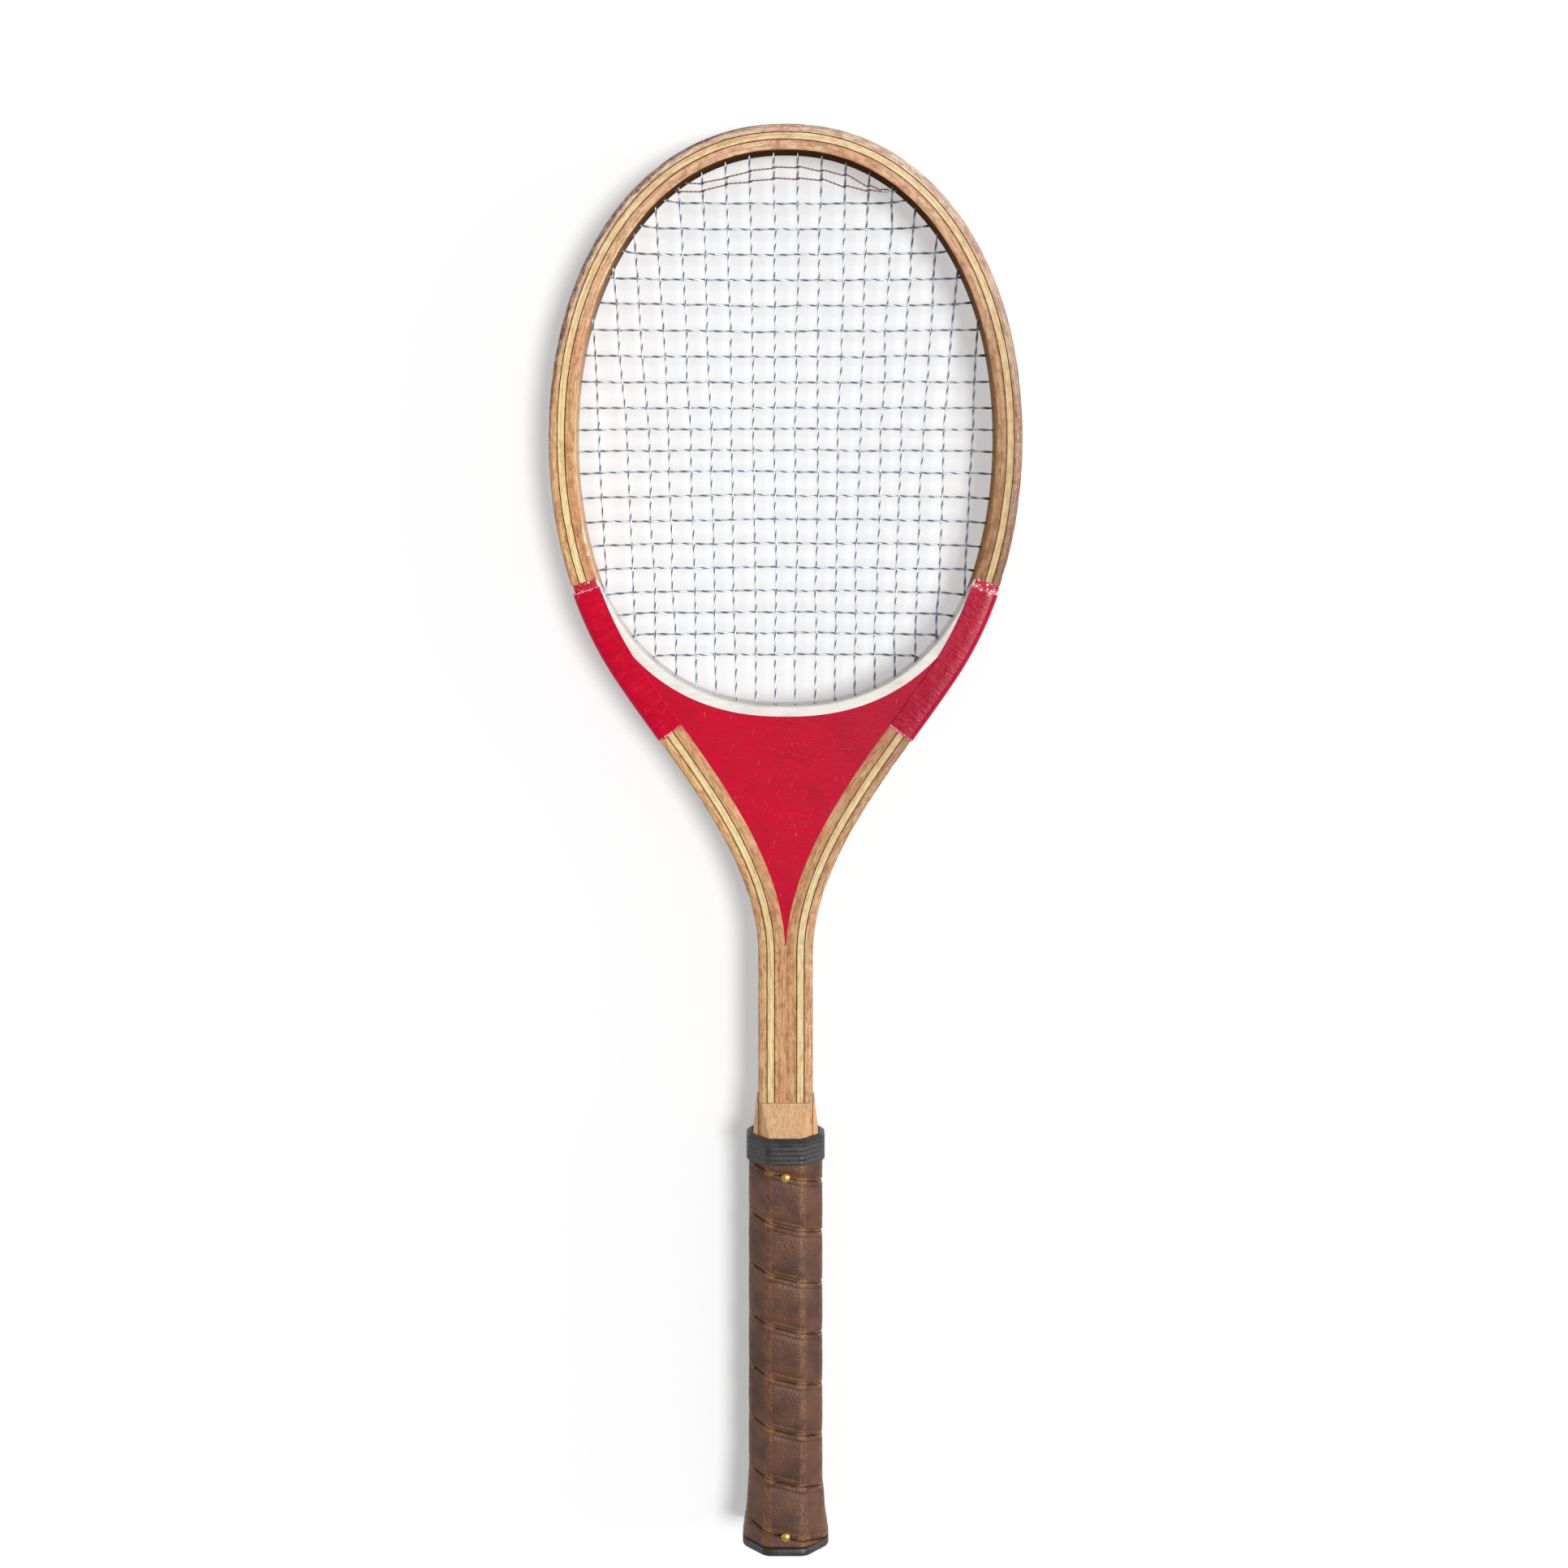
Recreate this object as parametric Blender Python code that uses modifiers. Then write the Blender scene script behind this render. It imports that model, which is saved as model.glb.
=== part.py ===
"""Wooden tennis racket, lying flat with the tip of its head towards +Y.

The hoop is five thin plies that run unbroken from the butt, up one side, round the head and down
the other side. It is bored for the strings, grooved outside for their loops, and closed at the
throat by a thin crown strip and a wedge. Racket measures are taken from the butt face along +Y and
from the mid-plane along Z; the frame empty carries them to the row's origin, on the floor under
the middle of the racket's length.
"""

import math
from collections import namedtuple

import bmesh
import bpy
import numpy as np
from mathutils import Matrix, Vector
from mathutils.geometry import interpolate_bezier

# Whole racket
LENGTH = 0.6858
GAP = 0.0003
GLUE_LINE = 0.00015

# Outline of the head, throat and shaft
HEAD_HALF_WIDTH = 0.1143
WIDEST = 0.5334
UPPER_POWER = 2.13
LOWER_DEPTH = 0.165
ELLIPSE_ENDS = 0.420
SHAFT_ENDS = 0.285
SHAFT_HALF_WIDTH = 0.01315
THROAT_PULL = 0.048
UPPER_STEPS = 11
LOWER_STEPS = 6
THROAT_STEPS = 6

# Plies, measured inward from the outline
HOOP_THICKNESS = 0.019
PLIES = {"outer_ply": 0.0036, "outer_veneer": 0.0006, "centre_ply": 0.0030, "inner_veneer": 0.0006,
         "inner_ply": 0.0046}
LIMB_WIDTH = sum(PLIES.values()) + GLUE_LINE * (len(PLIES) - 1)
OUTER_ROUND = 0.0030
OUTER_CHORDS = 3
INNER_ROUND = 0.0014
GROOVE_DEPTH = 0.0020
GROOVE_HALF_WIDTH = 0.0030

# Throat
CROWN_DEPTH = 0.1284
CROWN_POWER = 2.3
CROWN_THICKNESS = 0.005
CROWN_STARTS = 0.460
CROWN_STEPS = 14
WEDGE_TIP_HALF_WIDTH = 0.0012
GROOVE_ENDS = 0.314

# Shoulder sleeves
SLEEVE_TOP = 0.459
SLEEVE_END = 0.388
SLEEVE_THICKNESS = 0.0005

# Strings
STRING_RADIUS = 0.00065
HOLE_SIZE = 0.0019
MAIN_LEVEL = 0.001
CROSS_LEVEL = -0.001
WEAVE = 0.00165
MAIN_COUNT = 18
MAIN_PITCH = 0.0103
OUTER_MAIN = 0.0907
FAN_MIDDLE = 0.5378
FAN_UPPER = 1.0
OUTER_FAN_UPPER = 0.5
FAN_LOWER = 0.57
FIRST_CROSS = 0.6481
CROSS_GAPS = [0.0124] * 8 + [0.0103] * 3 + [0.0116] * 5 + [0.0103] * 3
CROSS_BOW = 0.0018
BOW_MIDDLE = 0.552
BOW_RANGE = 0.05
FANNED_MAINS = 8
FAN_EXIT_FIRST = 0.322
FAN_EXIT_STEP = 0.0146
NEAR_MOUTH = 0.0045
MOUTH_CLEARANCE = 0.00095
LOOP_DEPTH = 0.00115
SLEEVE_LOOP_DEPTH = 0.0004
LINING_MARGIN = 0.010
TAIL = 0.007
GAP_SAMPLES = 4
NEIGHBOURS = 3

# Trebling cords: the heights at which each row meets its mains, from the left
CORD_RADIUS = 0.0004
CORD_WEAVE = STRING_RADIUS + CORD_RADIUS + GAP
UPPER_ROW_START = 0.6580
UPPER_ROW_MAIN = 5
UPPER_ROW = [0.6580, 0.6606, 0.6638, 0.6655, 0.6658, 0.6641, 0.6620, 0.6566]
LOWER_ROW_START = 0.6548
LOWER_ROW_MAIN = 4
LOWER_ROW = [0.6536, 0.6542, 0.6574, 0.6588, 0.6602, 0.6602, 0.6597, 0.6565, 0.6545]
CRIMP_START = (0.0467, 0.6545)
CRIMP_LENGTH = 0.0034
CRIMP_RADIUS = 0.0011
CRIMP_SIDES = 10

# Handle
CORE_HALF_WIDTH = 0.0158
CORE_HALF_HEIGHT = 0.0138
CORE_CHAMFER = 0.0080
HANDLE_END = 0.214
HANDLE_TAPER = 0.016
FLARE = 0.0026
FLARE_KNEE = (0.012, 0.0012)
FLARE_ENDS = 0.026
FLARE_RUNS_OUT = 0.033
CAP_THICKNESS = 0.004
CAP_OVERHANG = 0.0004
CAP_BEVEL = 0.0008
LEATHER_THICKNESS = 0.0016
LEATHER_END = 0.1970
LEATHER_WIDTH = 0.0240
LEATHER_SEAM = 0.0005
LEATHER_NARROWEST = 0.002
BAND_WIDTH = 0.011
BAND_THICKNESS = 0.0009
TACK_PLACES = {"butt_tack": 0.009, "grip_tack": 0.180}
TACK_HEAD_RADIUS = 0.0022
TACK_HEAD_HEIGHT = 0.0009
TACK_SHOULDER = 0.7
TACK_SHANK_RADIUS = 0.0006
TACK_SHANK_LENGTH = 0.0026
TACK_SIDES = 8

REST_HEIGHT = CORE_HALF_HEIGHT + FLARE + GAP + LEATHER_THICKNESS + CAP_OVERHANG
HANDLE_START = CAP_THICKNESS + GAP

Hole = namedtuple("Hole", "mouth outward loop station")


# Scene, materials and mesh helpers
for old in list(bpy.data.objects):
    bpy.data.objects.remove(old)

racket = bpy.data.collections.new("wooden_tennis_racket")
cutters = bpy.data.collections.new("cutters")
bpy.context.scene.collection.children.link(racket)
bpy.context.scene.collection.children.link(cutters)

frame = bpy.data.objects.new("racket_frame", None)
frame.location = (0, -LENGTH / 2, REST_HEIGHT)
racket.objects.link(frame)


def material(name, colour, roughness, metallic=0.0):
    """A plain Principled material."""
    made = bpy.data.materials.new(name)
    made.use_nodes = True
    shader = made.node_tree.nodes["Principled BSDF"]
    shader.inputs["Base Color"].default_value = (*colour, 1)
    shader.inputs["Roughness"].default_value = roughness
    shader.inputs["Metallic"].default_value = metallic
    return made


BROWN_ASH = material("brown_ash", (0.60, 0.36, 0.17), 0.35)
PALE_ASH = material("pale_ash", (0.85, 0.68, 0.37), 0.35)
DARK_VENEER = material("dark_veneer", (0.10, 0.06, 0.03), 0.4)
WHITE_LACQUER = material("white_lacquer", (0.83, 0.81, 0.76), 0.3)
RED_LACQUER = material("red_lacquer", (0.55, 0.01, 0.04), 0.2)
STEEL_WIRE = material("steel_wire", (0.62, 0.65, 0.68), 0.3, 1.0)
MAROON_CORD = material("maroon_cord", (0.13, 0.03, 0.04), 0.6)
BASSWOOD = material("basswood", (0.62, 0.47, 0.30), 0.6)
LEATHER = material("leather", (0.20, 0.09, 0.04), 0.6)
BLACK_TAPE = material("black_tape", (0.03, 0.03, 0.03), 0.5)
BRASS = material("brass", (0.70, 0.50, 0.20), 0.35, 1.0)


def placed(name, mesh, finish):
    """A part of the racket, smooth except at its sharp edges."""
    part = bpy.data.objects.new(name, mesh)
    part.parent = frame
    if finish:
        mesh.materials.clear()
        mesh.materials.append(finish)
        mesh.polygons.foreach_set("use_smooth", [True] * len(mesh.polygons))
        mesh.set_sharp_from_angle(angle=math.radians(35))
        racket.objects.link(part)
    else:
        part.hide_render = True
        part.display_type = "WIRE"
        cutters.objects.link(part)
    return part


def placed_bmesh(name, shape, finish):
    bmesh.ops.recalc_face_normals(shape, faces=shape.faces)
    mesh = bpy.data.meshes.new(name)
    shape.to_mesh(mesh)
    shape.free()
    return placed(name, mesh, finish)


def curve_data(name, points, cyclic=False, flat=True):
    """A polyline curve through the points."""
    data = bpy.data.curves.new(name, "CURVE")
    data.dimensions = "2D" if flat else "3D"
    data.render_resolution_u = 0
    spline = data.splines.new("POLY")
    spline.points.add(len(points) - 1)
    for knot, point in zip(spline.points, points):
        knot.co = (*Vector(point).to_3d(), 1)
    spline.use_cyclic_u = cyclic
    return data


def meshed(name, data, finish):
    """The curve as a closed mesh: its caps are loose until they are welded."""
    holder = bpy.data.objects.new(name + "_curve", data)
    bpy.context.scene.collection.objects.link(holder)
    evaluated = holder.evaluated_get(bpy.context.evaluated_depsgraph_get())
    mesh = bpy.data.meshes.new_from_object(evaluated)
    bpy.data.objects.remove(holder)
    shape = bmesh.new()
    shape.from_mesh(mesh)
    bmesh.ops.remove_doubles(shape, verts=shape.verts, dist=1e-6)
    return placed_bmesh(name, shape, finish)


def swept(name, section, path, finish):
    """A closed section of (inward, up) points carried along a flat path."""
    outline = [(-inward, up) for inward, up in section]
    section_name = name + "_section"
    section_curve = bpy.data.objects.new(section_name, curve_data(section_name, outline, cyclic=True))
    data = curve_data(name, path)
    data.bevel_mode = "OBJECT"
    data.bevel_object = section_curve
    data.use_fill_caps = True
    part = meshed(name, data, finish)
    bpy.data.objects.remove(section_curve)
    return part


def flat_outline(name, outline, finish, half_thickness):
    """A closed outline in the mid-plane, thickened both ways."""
    data = curve_data(name, outline, cyclic=True)
    data.fill_mode = "BOTH"
    data.extrude = half_thickness
    return meshed(name, data, finish)


def tube(name, points, radius, finish, sides_level):
    data = curve_data(name, points, flat=False)
    data.bevel_depth = radius
    data.bevel_resolution = sides_level
    data.use_fill_caps = True
    return meshed(name, data, finish)


def lofted(name, sections, finish, ring=False):
    """A skin through sections with the same number of points, capped unless it closes on itself."""
    shape = bmesh.new()
    rows = [[shape.verts.new(point) for point in section] for section in sections]
    following = rows[1:] + rows[:1] if ring else rows[1:]
    for row, after in zip(rows, following):
        for k in range(len(row)):
            n = (k + 1) % len(row)
            shape.faces.new((row[k], row[n], after[n], after[k]))
    if not ring:
        shape.faces.new(rows[0])
        shape.faces.new(rows[-1])
    return placed_bmesh(name, shape, finish)


def cut(part, *tools):
    for tool in tools:
        modifier = part.modifiers.new(tool.name, "BOOLEAN")
        modifier.object = tool


# Outline of the racket
def superellipse(half_width, half_height, power, angle):
    c = math.cos(angle)
    s = math.sin(angle)
    return Vector((math.copysign(abs(c) ** (2 / power), c) * half_width,
                   math.copysign(abs(s) ** (2 / power), s) * half_height))


def right_outline():
    """Outer edge of the right side: shaft, throat, lower ellipse, upper superellipse, tip."""
    drop = WIDEST - ELLIPSE_ENDS
    leave_angle = -math.asin(drop / LOWER_DEPTH)
    centre = Vector((0, WIDEST))
    leave = centre + superellipse(HEAD_HALF_WIDTH, LOWER_DEPTH, 2, leave_angle)
    slope = Vector((HEAD_HALF_WIDTH ** 2 * drop / (LOWER_DEPTH ** 2 * leave.x), 1)).normalized()
    shaft_top = Vector((SHAFT_HALF_WIDTH, SHAFT_ENDS))
    throat = interpolate_bezier(shaft_top, shaft_top + Vector((0, THROAT_PULL)), leave - slope * THROAT_PULL,
                                leave, THROAT_STEPS + 1)
    lower = [centre + superellipse(HEAD_HALF_WIDTH, LOWER_DEPTH, 2, leave_angle * (1 - k / LOWER_STEPS))
             for k in range(1, LOWER_STEPS)]
    tip_height = LENGTH - WIDEST
    upper = [centre + superellipse(HEAD_HALF_WIDTH, tip_height, UPPER_POWER, math.pi / 2 * k / UPPER_STEPS)
             for k in range(UPPER_STEPS + 1)]
    return [Vector((SHAFT_HALF_WIDTH, HANDLE_START)), *[p.to_2d() for p in throat], *lower, *upper]


def mirrored(point):
    return Vector((-point.x, *point[1:]))


def inward_miters(points):
    """For each point the inward step that keeps offset edges parallel, 1 m away."""
    edges = [(b - a).normalized() for a, b in zip(points, points[1:])]
    miters = []
    for before, after in zip(edges[:1] + edges, edges + edges[-1:]):
        normal = Vector((-before.y - after.y, before.x + after.x)).normalized()
        miters.append(normal / normal.dot(Vector((-after.y, after.x))))
    return miters


RIGHT = right_outline()
TIP_STATION = len(RIGHT) - 1
RIM = RIGHT + [mirrored(p) for p in reversed(RIGHT[:-1])]
RIM_MITERS = inward_miters(RIM)
WIDEST_STATION = 1 + THROAT_STEPS + LOWER_STEPS


def rim(station, depth=0.0):
    """Point of the rim at a station, which may lie between two, at a depth inside the outline."""
    k = min(int(station), len(RIM) - 2)
    first = RIM[k] + RIM_MITERS[k] * depth
    second = RIM[k + 1] + RIM_MITERS[k + 1] * depth
    return first.lerp(second, station - k)


def bisected(side_of, low, high):
    """The value between low and high where side_of changes sign."""
    low_side = side_of(low) > 0
    for _ in range(50):
        middle = (low + high) / 2
        if (side_of(middle) > 0) == low_side:
            low = middle
        else:
            high = middle
    return (low + high) / 2


def rim_hit(origin, direction, depth, low, high):
    """Station where a line meets the rim at this depth."""
    return bisected(lambda station: direction.cross(rim(station, depth) - origin), low, high)


def station_at(height, depth=0.0):
    """Station of the right limb at this distance from the butt face."""
    return bisected(lambda station: rim(station, depth).y - height, 1, TIP_STATION)


def rim_path(low, high):
    """The outline from one station to another."""
    return [rim(low), *RIM[math.floor(low) + 1:math.ceil(high)], rim(high)]


def crown(angle):
    """Inner edge of the lower head, from -pi at the left to 0 at the right."""
    return Vector((0, WIDEST)) + superellipse(HEAD_HALF_WIDTH - LIMB_WIDTH, CROWN_DEPTH, CROWN_POWER, angle)


CROWN_SPREAD = bisected(lambda angle: crown(angle).y - CROWN_STARTS, -math.pi / 2, 0) + math.pi / 2
CROWN = [crown(-math.pi / 2 + CROWN_SPREAD * (2 * k / CROWN_STEPS - 1)) for k in range(CROWN_STEPS + 1)]
CROWN_MITERS = inward_miters(CROWN)


def crown_hit(origin, direction):
    """Where a line meets the crown's edge, and the outward normal there."""
    def position(step):
        k = min(int(step), CROWN_STEPS - 1)
        return CROWN[k].lerp(CROWN[k + 1], step - k), CROWN_MITERS[k].lerp(CROWN_MITERS[k + 1], step - k)
    step = bisected(lambda value: direction.cross(position(value)[0] - origin), CROWN_STEPS / 2, CROWN_STEPS)
    point, inward = position(step)
    return point, -inward.normalized()


# Where the strings run
def main_point(main, height):
    """Point of a main, counted from the left. The mains spread towards the tip."""
    rank = main - (MAIN_COUNT - 1) / 2
    outermost = main in (0, MAIN_COUNT - 1)
    offset = math.copysign(OUTER_MAIN if outermost else abs(rank) * MAIN_PITCH, rank)
    upper = OUTER_FAN_UPPER if outermost else FAN_UPPER
    fan = upper if height > FAN_MIDDLE else FAN_LOWER
    return Vector((offset * (1 + fan * (height - FAN_MIDDLE)), height))


CROSS_HEIGHTS = [FIRST_CROSS - sum(CROSS_GAPS[:k]) for k in range(len(CROSS_GAPS) + 1)]


def cross_height(cross, x):
    """Crosses bow away from the middle of the bed towards their ends."""
    rise = CROSS_BOW * max(-1, min(1, (CROSS_HEIGHTS[cross] - BOW_MIDDLE) / BOW_RANGE))
    return CROSS_HEIGHTS[cross] + rise * (x / HEAD_HALF_WIDTH) ** 2


def square_hole(station):
    """A hole drilled square through the rim."""
    mouth = rim(station, LIMB_WIDTH)
    outward = (rim(station) - mouth).normalized()
    return Hole(mouth, outward, rim(station, loop_depth(rim(station).y)), station)


def slanted_hole(mouth, outward):
    """A hole drilled from the crown's edge out through the limb."""
    exit_station = rim_hit(mouth, outward, 0, 1, WIDEST_STATION)
    depth = loop_depth(rim(exit_station).y)
    station = rim_hit(mouth, outward, depth, 1, WIDEST_STATION)
    return Hole(mouth, outward, rim(station, depth), station)


def loop_depth(height):
    """The loops lie on the groove's floor, which the sleeves line."""
    lined = SLEEVE_END - LINING_MARGIN < height < SLEEVE_TOP + LINING_MARGIN
    return SLEEVE_LOOP_DEPTH if lined else LOOP_DEPTH


def flipped(hole):
    mouth, outward, end = (mirrored(vector) for vector in (hole.mouth, hole.outward, hole.loop))
    return Hole(mouth, outward, end, len(RIM) - 1 - hole.station)


def right_main_holes(rank):
    """Top and bottom holes of a right-hand main, counted from the middle."""
    main = MAIN_COUNT // 2 + rank
    middle = main_point(main, FAN_MIDDLE)
    top_station = rim_hit(middle, main_point(main, LENGTH) - middle, LIMB_WIDTH, WIDEST_STATION, TIP_STATION)
    mouth, normal = crown_hit(middle, main_point(main, SHAFT_ENDS) - middle)
    if rank < FANNED_MAINS:
        leaves = rim(station_at(FAN_EXIT_FIRST + FAN_EXIT_STEP * rank))
        normal = (leaves - mouth).normalized()
    return square_hole(top_station), slanted_hole(mouth, normal)


def right_cross_hole(cross):
    end = Vector((0, cross_height(cross, HEAD_HALF_WIDTH)))
    sideways = Vector((1, 0))
    if end.y > CROWN_STARTS:
        return square_hole(rim_hit(end, sideways, LIMB_WIDTH, station_at(ELLIPSE_ENDS), TIP_STATION))
    return slanted_hole(*crown_hit(end, sideways))


RIGHT_MAINS = [right_main_holes(rank) for rank in range(MAIN_COUNT // 2)]
MAIN_TOPS = [flipped(top) for top, _ in reversed(RIGHT_MAINS)] + [top for top, _ in RIGHT_MAINS]
MAIN_BOTTOMS = [flipped(low) for _, low in reversed(RIGHT_MAINS)] + [low for _, low in RIGHT_MAINS]
CROSS_RIGHTS = [right_cross_hole(cross) for cross in range(len(CROSS_HEIGHTS))]
CROSS_LEFTS = [flipped(hole) for hole in CROSS_RIGHTS]


def crossing(main, cross):
    """Where a main and a cross meet in plan, or None where they don't."""
    point = main_point(main, CROSS_HEIGHTS[cross])
    for _ in range(4):
        point = main_point(main, cross_height(cross, point.x))
    inside_ends = abs(point.x) < CROSS_RIGHTS[cross].mouth.x - MOUTH_CLEARANCE
    inside_tops = MAIN_BOTTOMS[main].mouth.y < point.y < MAIN_TOPS[main].mouth.y
    return point if inside_ends and inside_tops else None


def near_mouth(point, cross):
    return CROSS_RIGHTS[cross].mouth.x - abs(point.x) < NEAR_MOUTH


def at(point, level):
    return Vector((*point, level))


def through_hole(hole, level):
    """The string's points from the bed out to its loop."""
    return [at(hole.mouth - hole.outward * MOUTH_CLEARANCE, level), at(hole.loop, level)]


def loop(start, end, level):
    """The stretch in the groove from one hole to the next, bent only where the rim is."""
    low, high = sorted((start.station, end.station))
    corners = [at(rim(station, loop_depth(rim(station).y)), level)
               for station in range(math.floor(low) + 1, math.ceil(high))]
    return corners if end.station > start.station else corners[::-1]


def tail(hole, other, level):
    """The string's end, laid along the groove past its last hole and away from the next string."""
    direction = math.copysign(1, hole.station - other.station)
    reach = TAIL / (rim(hole.station + direction * 0.5) - rim(hole.station)).length * 0.5
    station = hole.station + direction * reach
    return at(rim(station, loop_depth(rim(station).y)), level)


def main_route():
    """One wire up and down through every main."""
    route = [tail(MAIN_BOTTOMS[0], MAIN_BOTTOMS[1], MAIN_LEVEL)]
    for main in range(MAIN_COUNT):
        woven = [point for cross in range(len(CROSS_HEIGHTS) - 1, -1, -1)
                 if (point := crossing(main, cross)) and not near_mouth(point, cross)]
        bed = [at(woven[0], 0), at(main_point(main, FAN_MIDDLE), 0), at(woven[-1], 0)]
        upward = [*reversed(through_hole(MAIN_BOTTOMS[main], MAIN_LEVEL)), *bed,
                  *through_hole(MAIN_TOPS[main], MAIN_LEVEL)]
        goes_up = main % 2 == 0
        route += upward if goes_up else reversed(upward)
        if main < MAIN_COUNT - 1:
            holes = MAIN_TOPS if goes_up else MAIN_BOTTOMS
            route += loop(holes[main], holes[main + 1], MAIN_LEVEL)
    return route + [tail(MAIN_BOTTOMS[-1], MAIN_BOTTOMS[-2], MAIN_LEVEL)]


def cross_route():
    """One wire to and fro, over one main and under the next."""
    route = [tail(CROSS_LEFTS[0], CROSS_LEFTS[1], CROSS_LEVEL)]
    last = len(CROSS_HEIGHTS) - 1
    for cross in range(last + 1):
        bed = []
        for main in range(MAIN_COUNT):
            point = crossing(main, cross)
            if point and near_mouth(point, cross):
                bed.append(at(point, CROSS_LEVEL))
            elif point:
                bed.append(at(point, WEAVE if (main + cross) % 2 else -WEAVE))
        rightward = [*reversed(through_hole(CROSS_LEFTS[cross], CROSS_LEVEL)), *bed,
                     *through_hole(CROSS_RIGHTS[cross], CROSS_LEVEL)]
        goes_right = cross % 2 == 0
        route += rightward if goes_right else reversed(rightward)
        if cross < last:
            holes = CROSS_RIGHTS if goes_right else CROSS_LEFTS
            route += loop(holes[cross], holes[cross + 1], CROSS_LEVEL)
    return route + [tail(CROSS_LEFTS[last], CROSS_LEFTS[last - 1], CROSS_LEVEL)]


def least_gap(route):
    """The least clear distance between stretches of one string that aren't neighbours."""
    points = np.array([a.lerp(b, part / GAP_SAMPLES) for a, b in zip(route, route[1:])
                       for part in range(GAP_SAMPLES)])
    apart = NEIGHBOURS * GAP_SAMPLES
    least = min(np.linalg.norm(points[k + apart:] - points[k], axis=1).min()
                for k in range(len(points) - apart))
    return least - 2 * STRING_RADIUS


# Cutters
def string_drills():
    """Square drills for every string hole."""
    shape = bmesh.new()
    drilled = [(hole, MAIN_LEVEL) for hole in MAIN_TOPS + MAIN_BOTTOMS]
    drilled += [(hole, CROSS_LEVEL) for hole in CROSS_LEFTS + CROSS_RIGHTS]
    for hole, level in drilled:
        start = hole.mouth - hole.outward * 2 * MOUTH_CLEARANCE
        end = hole.loop + hole.outward * 2 * GROOVE_DEPTH
        turn = Matrix.Rotation(math.atan2(hole.outward.y, hole.outward.x), 4, "Z")
        size = Matrix.Diagonal(((end - start).length, HOLE_SIZE, HOLE_SIZE, 1))
        bmesh.ops.create_cube(shape, matrix=Matrix.Translation(at((start + end) / 2, level)) @ turn @ size)
    return placed_bmesh("string_drills", shape, None)


def groove_cutter():
    section = [(-GROOVE_DEPTH, -GROOVE_HALF_WIDTH), (GROOVE_DEPTH, -GROOVE_HALF_WIDTH),
               (GROOVE_DEPTH, GROOVE_HALF_WIDTH), (-GROOVE_DEPTH, GROOVE_HALF_WIDTH)]
    start = station_at(GROOVE_ENDS)
    return swept("string_groove", section, rim_path(start, len(RIM) - 1 - start), None)


def limb_clearance():
    """Both limbs above the wedge's tip, grown by the glue line."""
    depth = LIMB_WIDTH + GLUE_LINE
    section = [(-GROOVE_DEPTH, -HOOP_THICKNESS), (depth, -HOOP_THICKNESS), (depth, HOOP_THICKNESS),
               (-GROOVE_DEPTH, HOOP_THICKNESS)]
    start = wedge_tip_station() - 0.5
    return swept("limb_clearance", section, rim_path(start, len(RIM) - 1 - start), None)


def wedge_tip_station():
    return bisected(lambda station: rim(station, LIMB_WIDTH).x - WEDGE_TIP_HALF_WIDTH, 1, WIDEST_STATION)


# Pieces of the hoop
def corner_arc(radius):
    """The section's upper outer corner, as (inward, up) points."""
    angles = [math.pi / 2 * k / OUTER_CHORDS for k in range(OUTER_CHORDS + 1)]
    centre = HOOP_THICKNESS / 2 - OUTER_ROUND
    return [(OUTER_ROUND - radius * math.cos(angle), centre + radius * math.sin(angle)) for angle in angles]


def both_sides(upper):
    """A section's upper half and its mirror image below, as one outline."""
    return [(inward, -up) for inward, up in reversed(upper)] + upper


def ply(name, start, width, finish):
    """One ply, swept from the butt round the head and back."""
    half = HOOP_THICKNESS / 2
    edge = corner_arc(OUTER_ROUND) if start == 0 else [(start, half)]
    return swept(name, both_sides(edge + [(start + width, half)]), RIM, finish)


def round_inner_edges(part):
    """Marks the edges of the head's opening for a Bevel."""
    shape = bmesh.new()
    shape.from_mesh(part.data)
    weight = shape.edges.layers.float.new("bevel_weight_edge")
    stations = range(math.ceil(station_at(CROWN_STARTS)), len(RIM) - math.ceil(station_at(CROWN_STARTS)))
    wall = [rim(station, LIMB_WIDTH) for station in stations]
    for edge in shape.edges:
        flat = abs(edge.verts[0].co.z - edge.verts[1].co.z) < GAP
        on_wall = all(min((vert.co.to_2d() - point).length for point in wall) < GAP for vert in edge.verts)
        edge[weight] = 1 if flat and on_wall else 0
    shape.to_mesh(part.data)
    shape.free()
    bevel = part.modifiers.new("rounded opening", "BEVEL")
    bevel.limit_method = "WEIGHT"
    bevel.width = INNER_ROUND
    bevel.segments = 2


def hoop():
    drills = string_drills()
    groove = groove_cutter()
    finishes = {"outer_ply": BROWN_ASH, "outer_veneer": DARK_VENEER, "centre_ply": PALE_ASH,
                "inner_veneer": DARK_VENEER, "inner_ply": BROWN_ASH}
    start = 0
    for name, width in PLIES.items():
        part = ply(name, start, width, finishes[name])
        if name == "outer_ply":
            cut(part, groove)
        if name == "inner_ply":
            round_inner_edges(part)
        cut(part, drills)
        start += width + GLUE_LINE
    return drills


def crown_strip(drills, limbs):
    """Thin lamination across the throat, feathered along both limbs."""
    outer_edge = [point - miter * CROWN_THICKNESS for point, miter in zip(CROWN, CROWN_MITERS)]
    part = flat_outline("crown_strip", CROWN + outer_edge[::-1], WHITE_LACQUER, HOOP_THICKNESS / 2)
    cut(part, limbs, drills)


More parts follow.
